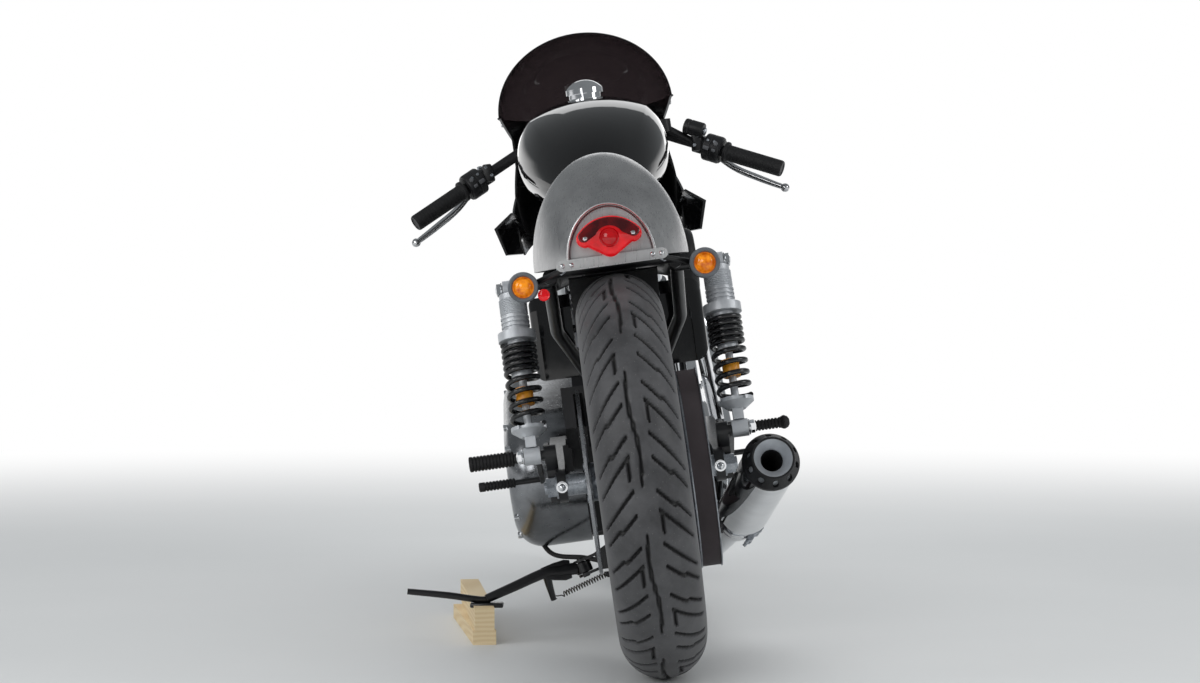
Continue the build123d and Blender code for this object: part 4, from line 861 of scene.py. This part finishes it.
def makeShocks():
    line = []
    z, turn, count = shock["springStart"], 0.0, shock["turnPoints"]
    for pitch, halves in shock["runs"]:
        for i in range(halves * count // 2):
            line.append((turn, z))
            turn += 2 * math.pi / count
            z += pitch / count
    line.append((turn, z))
    aim = shockPoint(1, 100) - shockPoint(1, 0)
    ahead = Vector((1, 0, 0))
    over = aim.normalized().cross(ahead)
    core, ridge, first, last, pitch = shock["thread"]
    profile = [(core - 0.4, first), *ribs(core, ridge, range(first, last, pitch), (1.2, 1.6, 2.8)),
               (core - 0.4, last)]
    springs, threads, collars = [], [], []
    for s in (-1, 1):
        coil = [shockPoint(s, z) + (ahead * math.cos(turn) + over * math.sin(turn)) * shock["springRadius"]
                for turn, z in line]
        springs.append(tube("shockSpring", coil, shock["wire"], sides=3))
        threads.append(lathe("thread", profile, around=36, at=shockPoint(s, 0), along=aim))
        collars.append(makeCollar(s, aim))
    settle(joinAll("shockSprings", springs), "powderCoatedSpring", angle=60,
           replaced=("shock_springs",))
    settle(joinAll("shockThreads", threads), "blastedShockAluminium", angle=25)
    settle(joinAll("shockCollars", collars), "blastedShockAluminium", angle=25)
    stud = lathe("studNut", [(9, 0), (10.5, 1.2), (10.5, 7), (8, 8), (4, 9.5)], around=6)
    washer = lathe("studWasher", [(12.5, -2), (12.5, -0.2), (12.2, 0)], around=28)
    stud = joinAll("studNut", [stud, washer])
    places = [((s * shock["studX"], y, z), (s, 0, 0)) for s in (-1, 1)
              for x, y, z in (shock["foot"], shock["top"])]
    settle(copies("shockStudNuts", stud, places), "chromePlate")


def makeCollar(side, aim):
    # adjuster ring: a barrel with twelve lugs, and slots between them for a hook spanner
    place, radius, depth, lug = shock["collar"]
    clearSelection()
    bpy.ops.mesh.primitive_cylinder_add(vertices=48, radius=radius / 1000, depth=depth / 1000)
    ring = nameNew("collar")
    bpy.ops.object.mode_set(mode="EDIT")
    bpy.ops.mesh.select_all(action="DESELECT")
    bpy.ops.object.mode_set(mode="OBJECT")
    for face in ring.data.polygons:
        turn = math.degrees(math.atan2(face.center.y, face.center.x)) % 30
        face.select = abs(face.normal.z) < 0.5 and turn > 9
    bpy.ops.object.mode_set(mode="EDIT")
    bpy.ops.mesh.select_mode(type="FACE")
    bpy.ops.mesh.extrude_region_shrink_fatten(TRANSFORM_OT_shrink_fatten={"value": lug / 1000})
    bpy.ops.object.mode_set(mode="OBJECT")
    return aimPiece(ring, shockPoint(side, place), aim)


makeShocks()
print("shocks dressed")


# exhaust: band clamps with their bolts, and the blackened outlet

pipeAxis = {"front": Vector((155, 400, 186)), "end": Vector((209, -20, 321)), "bands": (16, 34)}


def makeSoot():
    # the outlet's sleeve is blackened, and closed far down where the packing would be
    soot = lathe("boreSoot", [(17.5, -110), (17.7, -19), (16.9, -19), (16.5, -107)], around=48,
                 at=pipeAxis["end"], along=pipeAxis["end"] - pipeAxis["front"])
    settle(soot, "exhaustSoot")


def makeClamps():
    aim = (pipeAxis["end"] - pipeAxis["front"]).normalized()
    side = aim.cross(Vector((0, 0, 1))).normalized()
    out = (side * -0.6 - side.cross(aim).normalized() * 0.8).normalized()
    tangent = aim.cross(out).normalized()
    hoop = [(30.2, -7), (31.4, -6.4), (31.4, 6.4), (30.2, 7), (29.9, 7), (29.9, -7), (30.2, -7)]
    bands, bolts = [], []
    for along in pipeAxis["bands"]:
        centre = pipeAxis["front"] + aim * along
        bands.append(lathe("band", hoop, around=48, at=centre, along=aim, loop=True))
        seat = centre + out * 36
        bolts.append(lathe("clampBolt", [(3, -22), (3, 24), (2.4, 25)], around=16, at=seat, along=tangent))
        bolts.append(lathe("clampNut", [(5, 0), (5.6, 0.6), (5.6, 5), (5, 5.6)], around=6,
                           at=seat + tangent * 15, along=tangent))
        for k in (-9, 10):
            bolts.append(lathe("clampLug", [(5, -6.5), (5.4, -6), (5.4, 6), (5, 6.5)], around=20,
                               at=seat + tangent * k, along=aim))
    settle(joinAll("mufflerBands", bands), "polishedAluminium")
    settle(joinAll("mufflerBandBolts", bolts), "zincPlatedSteel")


makeSoot()
makeClamps()
print("clamps made")


# pegs, grips, levers and switches

pegPlan = {
    # X of its inner and outer end, Y, Z, radius, and the radius of a ball at its end
    "leftFoot": (-211.4, -290, 428, 350, 13.5, 0),
    "rightFoot": (211.4, 262, 428, 350, 9.5, 12),
    "leftLever": (-218.4, -284, 528, 302, 8.5, 0),
    "rightLever": (218.4, 262, 528, 302, 8.5, 0),
}


def makePegs():
    pegs = []
    for x0, x1, y, z, r, ball in pegPlan.values():
        length = abs(x1 - x0)
        rings = [4 + i * 6 for i in range(int((length - 6) / 6))]
        profile = [(r - 2.5, 0), (r, 1.5), *ribs(r, -1.7, rings, (0.8, 1.8, 2.6)), (r, length - 1.5),
                   (r - 2, length)]
        pegs.append(lathe("peg", profile, around=32, at=(x0, y, z), along=(math.copysign(1, x1), 0, 0)))
        if ball:
            pegs.append(lathe("pegBall", [(6, -2), (9.5, 1), (ball, 6), (ball, 9), (9.5, 14), (5, 17)], around=32,
                              at=(x1 - 6, y, z), along=(1, 0, 0)))
    settle(joinAll("pegRubbers", pegs), "gripRubber", angle=25,
           replaced=("foot_pegs",))


makePegs()


def makeGrips():
    grips, ends = [], []
    for s in (-1, 1):
        aim = barPoint(s, 1) - barPoint(s, 0)
        length = aim.length
        profile = [(16.6, -2), (21.3, -1.5), (21.5, 0), (21.5, 3.5), (20.8, 4.6), (17.2, 5.4), (16.5, 7),
                   *ribs(16.5, -0.4, range(12, 110, 7), (0.5, 1.1, 1.6)),
                   (16.5, length - 3), (16.0, length - 0.8), (15, length)]
        grips.append(lathe("grip", profile, around=40, at=barPoint(s, 0), along=aim))
        ends.append(lathe("gripEnd", [(15.2, -2), (15.2, 0.8), (14.2, 1.4), (11.5, 1.0), (10.5, -0.4), (3, -0.6)],
                          around=32, at=barPoint(s, 1), along=aim))
    settle(joinAll("gripRubbers", grips), "gripRubber", body="fork", angle=25,
           replaced=("grips",))
    settle(joinAll("barEnds", ends), "wrinkleBlackCasting", body="fork")


makeGrips()


barPlan = {
    # place along the bar's axis, and how far off it, with X counted outwards
    "leverRoot": (-0.40, (-5.5, 55.1, 14.7)),
    "leverMiddle": (0.12, (0, 60, -20)),
    "leverTip": (1.0, (7, 56, -36)),
    "leverPivot": (-0.40, (2, 40, 14)),
    "switchPod": (-0.37, (0, 0, 0)),
    "leverPerch": (-0.50, (0, 0, 0)),
    "canister": (-0.70, (0, -16, 29)),
}


def besideBar(side, name):
    k, (out, ahead, up) = barPlan[name]
    return barPoint(side, k) + Vector((side * out, ahead, up))


def makeLevers():
    ball = [(3.5, -8.6), (6.6, -6.2), (8.4, -3), (9, 0), (8.4, 3), (6.6, 6.2), (3.5, 8.6)]
    blades, pins = [], []
    for s in (-1, 1):
        root, mid, tip = (besideBar(s, name) for name in ("leverRoot", "leverMiddle", "leverTip"))
        line = smoothLine([root, mid, mid * 0.45 + tip * 0.55 + Vector((0, 2, -2)), tip], 10)
        shares = [1.0 + 0.35 * math.sin(math.pi * i / (len(line) - 1)) for i in range(len(line))]
        blades.append(tube("blade", line, 5.2, radii=shares))
        blades.append(lathe("leverBall", ball, around=28, at=tip, along=tip - mid))
        pins.append(lathe("leverPin", [(5, -13), (6, -12), (6, 12), (5, 13.2), (2.4, 13.4), (2.2, 11.6)],
                          around=24, at=besideBar(s, "leverPivot"), along=(0, -0.3, 1)))
    settle(joinAll("leverBlades", blades), "polishedAluminium", body="fork",
           replaced=("levers",))
    settle(joinAll("leverPins", pins), "zincPlatedSteel", body="fork")


makeLevers()


def makeSwitches():
    shells, buttons, screws = [], [], []
    for s in (-1, 1):
        aim = (barPoint(s, 1) - barPoint(s, 0)).normalized()
        facing = Vector((0, -1, 0.15)) - aim * Vector((0, -1, 0.15)).dot(aim)
        facing.normalize()
        up = aim.cross(facing) * s
        inner = besideBar(s, "switchPod")
        profile = [(21, -2), (26.4, 0.5), (27.6, 3), (27.6, 14), (26.6, 15), (26.6, 16), (27.6, 17),
                   (27.6, 31), (26, 35), (21, 36.5)]
        shells.append(lathe("pod", profile, around=36, at=inner, along=aim))
        clampAt = besideBar(s, "leverPerch")
        shells.append(softBox("perchCap", (19, 22, 36), clampAt + facing * 13, 4))
        for k in (8, 22):
            screws.append(lathe("podScrew", [(2.9, -2), (2.9, 1), (2.3, 1.8), (1.2, 1.8), (1.1, 0.6)], around=16,
                                at=inner + aim * k + facing * 26.8 - up * 7, along=facing))
        for h in (-10, 10):
            screws.append(lathe("perchScrew", [(3.4, -3), (3.4, 2), (2.7, 2.8), (1.5, 2.8), (1.4, 1.2)],
                                around=16, at=clampAt + facing * 24 + up * h, along=facing))
        turn = [math.degrees(a) for a in aim.to_track_quat("X", "Z").to_euler()]
        buttons.append(softBox("rocker", (12, 7, 8), inner + aim * 9 + facing * 26 + up * 9, 1.6, turn))
        buttons.append(softBox("slider", (8, 6, 6), inner + aim * 25 + facing * 26 + up * 10, 1.4, turn))
        buttons.append(lathe("push", [(4.6, -3), (4.6, 2.4), (3.8, 3.6), (1.5, 4.1)], around=24,
                             at=inner + aim * 26 + facing * 27 - up * 4, along=facing))
    # the front brake's fluid canister lies along the right bar, with a bright plug in its outer end
    aim = (barPoint(1, 1) - barPoint(1, 0)).normalized()
    place = besideBar(1, "canister")
    profile = [(12, -2), (15, -1), (16, 1.5), (16, 8), (15.2, 9), (15.2, 11), (16, 12), (16, 36), (14.6, 38.5),
               (10, 39)]
    shells.append(lathe("canister", profile, around=36, at=place, along=aim))
    screws.append(lathe("plug", [(7, 37), (7.6, 39.5), (7.6, 42.5), (6.6, 43.7), (3, 43.9)], around=24, at=place,
                        along=aim))
    settle(joinAll("switchPods", shells), "mouldedBlackNylon", body="fork")
    settle(joinAll("switchButtons", buttons), "paleButtonNylon", body="fork")
    settle(joinAll("switchScrews", screws), "zincPlatedSteel", body="fork")


makeSwitches()
print("controls dressed")


# side stand: bent leg with a spring lug, flat foot and tang, and its return spring

standPlan = {
    "pivot": (-118, 470, 142),
    "pin": (-0.262, 0.09, 0.940),
    "knee": (-187.4, 452, 142.7),
    "foot": (-292.1, 425, 114.7),
    "tang": (-426.0, 416, 147.2),
    "springTop": (-78, 478, 124),
    "springFoot": (-170, 462, 97),
}


def makeStand():
    pivot, knee, foot, tang = (Vector(standPlan[k]) for k in ("pivot", "knee", "foot", "tang"))
    pin = Vector(standPlan["pin"])
    ahead = (knee - pivot).normalized()
    line = smoothLine([pivot + ahead * 13, pivot + ahead * 40, knee, knee * 0.45 + foot * 0.55, foot], 8)
    shares = [1.15 - 0.35 * i / (len(line) - 1) for i in range(len(line))]
    leg = tube("standLeg", line, 9.6, sides=5, radii=shares)
    knuckle = lathe("knuckle", [(13.5, -10), (15, -8.5), (15, 8.5), (13.5, 10)], around=40, at=pivot, along=pin)
    pinHole = lathe("pinHole", [(6.6, -30), (6.6, 30)], around=24, at=pivot, along=pin)
    cut = knuckle.modifiers.new("hole", "BOOLEAN")
    cut.object = pinHole
    cut.solver = "EXACT"
    applyAll(knuckle)
    bpy.data.objects.remove(pinHole)
    reach = (knee - pivot).length
    web = slab("standWeb", [(24, -15), (34, -17), (54, -14), (reach + 3, -9), (reach + 5, 0), (reach + 3, 9),
                            (54, 14), (34, 17), (24, 15)], [(-4.5, -1), (-3.8, 0), (3.8, 0), (4.5, -1)], at=pivot)
    level = (pin - ahead * pin.dot(ahead)).normalized()
    web.rotation_euler = Matrix((ahead, level, ahead.cross(level))).transposed().to_euler()
    hookAt = Vector(standPlan["springFoot"]) + Vector((-7, -2, -4))
    lugLine = smoothLine([knee + Vector((4, 2, 0)), knee * 0.5 + hookAt * 0.5 + Vector((1, 0, 2)), hookAt], 6)
    lug = tube("springLug", lugLine, 5.4,
               radii=[1.5, 1.48, 1.44, 1.4, 1.34, 1.28, 1.22, 1.16, 1.1, 1.04, 1.0, 0.96, 0.9])
    bend = [foot + Vector((6, 1, -1)), foot + Vector((-14, -1, 1)), foot * 0.5 + tang * 0.5, tang]
    toe = tube("tang", smoothLine(bend, 6), 6.0, radii=[1.0] * 13 + [0.98, 0.96, 0.94, 0.92, 0.9, 0.88])
    plate = softBox("footPlate", (58, 33, 8), foot + Vector((-0.6, 0, -10.2)), 2.5, (0, 7.8, 0))
    settle(joinAll("standLegPiece", [leg, knuckle, web, lug, toe, plate]),
           "blackFrameEnamel", body="stand", angle=40, replaced=("side_stand",))


def makeStandSpring():
    top, foot = Vector(standPlan["springTop"]), Vector(standPlan["springFoot"])
    aim = (foot - top).normalized()
    over = aim.cross(Vector((0, 1, 0))).normalized()
    side = aim.cross(over)
    length = (foot - top).length
    radius, turns, perTurn = 4.4, 17, 12
    steps = turns * perTurn
    points = [top - aim * 9 + over * 0.5, top - aim * 3]
    for i in range(steps + 1):
        a = 2 * math.pi * i / perTurn
        out = over * math.cos(a) + side * math.sin(a)
        points.append(top + aim * ((length - 12) * i / steps) + out * radius)
    points += [top + aim * (length - 8), foot - over * 2, foot + aim * 3 - over * 4, foot + aim * 5,
               foot + aim * 2 + over * 2.5]
    spring = tube("standSpring", points, 1.1, sides=1)
    settle(spring, "oiledSpringSteel", body=None, angle=60)
    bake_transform(spring)


makeStand()
makeStandSpring()
hook = lathe("springPost", [(3.2, -10), (3.6, -9), (3.6, 8), (5.2, 8.6), (5.2, 11), (3, 12)], around=20,
             at=standPlan["springTop"], along=(0.2, -1, 0))
settle(hook, "blackFrameEnamel")
print("side stand made")


# overflow hose

overflow = [(-194, 690, 196), (-190, 680, 176), (-178, 664, 158), (-158, 640, 150), (-118, 604, 146),
            (-86, 566, 139)]
hose = tube("overflowHose", smoothLine(overflow, 10), 4.4)
settle(hose, "gripRubber", replaced=("overflow_hose",))


# bolts on the covers, the discs and the pulley

coverBolts = {
    # X, and the Y and Z of each screw
    "right": (150.4, ((970, 407), (985, 330), (930, 288), (850, 276), (760, 285), (742, 352), (800, 384),
                      (880, 420))),
    "sprocket": (126.2, ((560, 380), (566, 305), (630, 276), (700, 270))),
    # the primary cover's two round ends: centre, how far out its screws sit, and their first angle
    "primary": (((892, 330), 125, -75), ((694, 296), 103, 105)),
    "axleHeight": 320.64,
    # on the rear wheel: X, how far out the bolts sit, their first angle, sides of the head
    "rearDiscBolts": (-85, 27, 36, 20),
    "pulleyBolts": (94, 31, 56, 6),
}


def ringPlaces(x, y, z, out, first, step):
    # five screws on a circle, with their heads away from the middle of the bike
    turns = [math.radians(first + step * i) for i in range(5)]
    return [((x, y + out * math.cos(a), z + out * math.sin(a)), (math.copysign(1, x), 0, 0)) for a in turns]


def makeCoverBolts():
    places = []
    for x, spots in (coverBolts["right"], coverBolts["sprocket"]):
        places += [((x, y, z), (1, 0, 0)) for y, z in spots]
    fasten("coverScrews", [(5.5, -4), (5.5, 2.8), (4.8, 3.6), (3.0, 3.6), (2.8, 1.4)], places, "chromePlate")
    places = []
    for (y, z), out, first in coverBolts["primary"]:
        places += ringPlaces(-229, y, z, out, first, 37.5)
    fasten("caseScrews", [(6.2, -10), (6.2, 2.6), (5.4, 3.4), (3.4, 3.4), (3.2, 1.2)], places, "chromePlate")
    for name in ("rearDiscBolts", "pulleyBolts"):
        x, out, first, around = coverBolts[name]
        places = ringPlaces(x, 0, coverBolts["axleHeight"], out, first, 72)
        fasten(name, [(6, -2), (6, 2.4), (5.2, 3.2), (3.2, 3.2), (3, 1)], places, "zincPlatedSteel",
               body="rear_wheel_set", around=around)


makeCoverBolts()
print("bolts set")


# fairing: screen screws and edge trim, and the lamp's bezel

screenFoot = {"back": 1085, "z": 993.4, "wide": 176, "deep": 290, "screws": (14, 44, 74, 106, 136, 166)}
lampFace = (0, 1418, 868.9)


def makeScreenTrim():
    back, z, wide, deep = (screenFoot[key] for key in ("back", "z", "wide", "deep"))
    line = []
    for i in range(61):
        a = math.radians(4 + 172 * i / 60)
        line.append(((wide + 0.6) * math.cos(a), back + (deep + 0.6) * math.sin(a), z))
    settle(tube("screenTrim", line, 2.0, sides=3), "mouldedBlackNylon")
    places = []
    for a in screenFoot["screws"]:
        c, s = math.cos(math.radians(a)), math.sin(math.radians(a))
        out = Vector((c / wide, s / deep, 0)).normalized()
        places.append((Vector((wide * c, back + deep * s, z - 9)) + out * 0.8, out))
    fasten("screenScrews", [(5.6, -2), (5.6, 0.4), (4.6, 1.6), (2, 2.1), (1.8, 0.9)], places, "chromePlate")


makeScreenTrim()
bezel = lathe("lampBezel", [(72, -2), (72.5, 3), (75, 6.4), (79, 7), (81, 4.6), (81.4, 0), (80, -2), (72, -2)],
              around=72, at=lampFace, along=(0, 1, 0), loop=True)
settle(bezel, "chromePlate")
lens = lathe("lampLens", [(71.5, -1), (71.5, 1.5), (66, 5), (52, 9), (34, 12), (16, 13.6), (1, 14)], around=72,
             at=lampFace, along=(0, 1, 0))
settle(lens, "headlampGlass")
print("fairing dressed")


# red reflector beside the left indicator

reflector = lathe("reflector", [(8.5, -3), (9.4, -2), (9.4, 1.2), (8.8, 1.8), (7.6, 1.2), (5, 1.9), (2, 2.1)],
                  around=36, at=(-112, -58, 622), along=(0, -1, 0.05))
# the red lens finish gives this reflector a painted glow
settle(reflector, "redAcrylicLens")


# camera, floor and light

view = {
    "place": (-0.0146, -4.7630, 0.5810),
    "turn": -0.14,         # degrees to the left of straight ahead
    "dip": 0.755,          # degrees below level
    "lens": 76.26,
}


def makeCamera():
    data = bpy.data.cameras.new("photoCamera")
    data.lens = view["lens"]
    data.sensor_width = 36
    data.clip_end = 100
    camera = bpy.data.objects.new("photoCamera", data)
    camera.location = view["place"]
    camera.rotation_euler = (math.radians(90 - view["dip"]), 0, math.radians(view["turn"]))
    bpy.context.scene.collection.objects.link(camera)
    bpy.context.scene.camera = camera


def seenShare(owner):
    # 1 for the eye's own rays and for what it sees mirrored or through glass
    rays = addNode(owner, "ShaderNodeLightPath").outputs
    seen = maths(owner, "MAXIMUM", rays["Is Camera Ray"], rays["Is Glossy Ray"])
    return maths(owner, "MAXIMUM", seen, rays["Is Transmission Ray"])


def makeStage():
    clearSelection()
    bpy.ops.mesh.primitive_plane_add(size=40, location=(0, 0, 0))
    floor = nameNew("floor")
    # smooth painted concrete: pale grey with faint broad clouds
    material, shader, place = newMaterial("paleFloor")
    feed(material, shader, {"Base Color": tint(material, noise(material, place, 1.2, 3.0), "#d3d5d4", "#dcdddc"),
                            "Roughness": 0.6})
    # away from the bike the floor fades into the white backdrop, for the eye and for what metal mirrors
    far = addNode(material, "ShaderNodeVectorMath", {0: place}, operation="LENGTH").outputs["Value"]
    fade = spread(material, far, 0.0, 1.0, 1.6, 6.0, "SMOOTHSTEP")
    white = addNode(material, "ShaderNodeEmission", {"Color": colour("#ffffff"), "Strength": 1.0})
    blend = addNode(material, "ShaderNodeMixShader", {0: maths(material, "MULTIPLY", seenShare(material), fade),
                                                      1: shader.outputs["BSDF"], 2: white.outputs["Emission"]})
    feed(material, material.node_tree.nodes["Material Output"], {"Surface": blend.outputs["Shader"]})
    floor.data.materials.append(material)


lamps = {
    # name: place, size, power, what it faces
    "skylight": ((0.6, -0.6, 4.2), 4.5, 60, (0, 0, 0.5)),
    "leftWindow": ((-4.2, -2.8, 2.4), 2.0, 50, (0, 0, 0.6)),
    "rightWindow": ((4.4, -2.0, 2.6), 2.0, 40, (0, 0, 0.6)),
    "frontWindow": ((0.4, 5.0, 2.6), 3.0, 30, (0, 0, 0.7)),
    "openDoor": ((-2.6, -6.0, 2.4), 2.4, 60, (0, -0.6, 0.6)),
}


def makeLamps():
    for name, (place, size, power, target) in lamps.items():
        data = bpy.data.lights.new(name, "AREA")
        data.shape = "SQUARE"
        data.size = size
        data.energy = power
        lamp = bpy.data.objects.new(name, data)
        lamp.location = place
        lamp.rotation_euler = (Vector(target) - Vector(place)).to_track_quat("-Z", "Y").to_euler()
        # the wide lamp lights the bike but isn't mirrored as a white sheet in its dark lacquer
        lamp.visible_glossy = name != "skylight"
        bpy.context.scene.collection.objects.link(lamp)


def makeWorld():
    world = bpy.data.worlds.new("studioWorld")
    bpy.context.scene.world = world
    world.use_nodes = True
    world.node_tree.nodes.clear()
    room = addNode(world, "ShaderNodeBackground", {"Color": colour("#dfe2e6"), "Strength": 0.7})
    # the eye sees a white backdrop all round; metal and lacquer see it white ahead of the bike and low down,
    # with a grey roof above it and a grey hall behind
    aim = addNode(world, "ShaderNodeTexCoord").outputs["Generated"]
    parts = addNode(world, "ShaderNodeSeparateXYZ", {0: aim}).outputs
    hall = spread(world, parts["Y"], 0.05, 0.22, 0.97, 0.55, "SMOOTHSTEP")
    roof = tint(world, maths(world, "MAXIMUM", parts["Z"], hall), "#ffffff", "#828587", 0.07, 0.22, "EASE")
    eye = addNode(world, "ShaderNodeLightPath").outputs["Is Camera Ray"]
    backdrop = addNode(world, "ShaderNodeBackground", {"Color": mix(world, eye, roof, colour("#ffffff")),
                                                       "Strength": 1.0})
    blend = addNode(world, "ShaderNodeMixShader", {0: seenShare(world), 1: room.outputs[0],
                                                   2: backdrop.outputs[0]})
    addNode(world, "ShaderNodeOutputWorld", {"Surface": blend.outputs[0]})


makeCamera()
makeStage()
makeLamps()
makeWorld()
bpy.context.scene.view_settings.view_transform = "Standard"
print("camera, floor and light set")
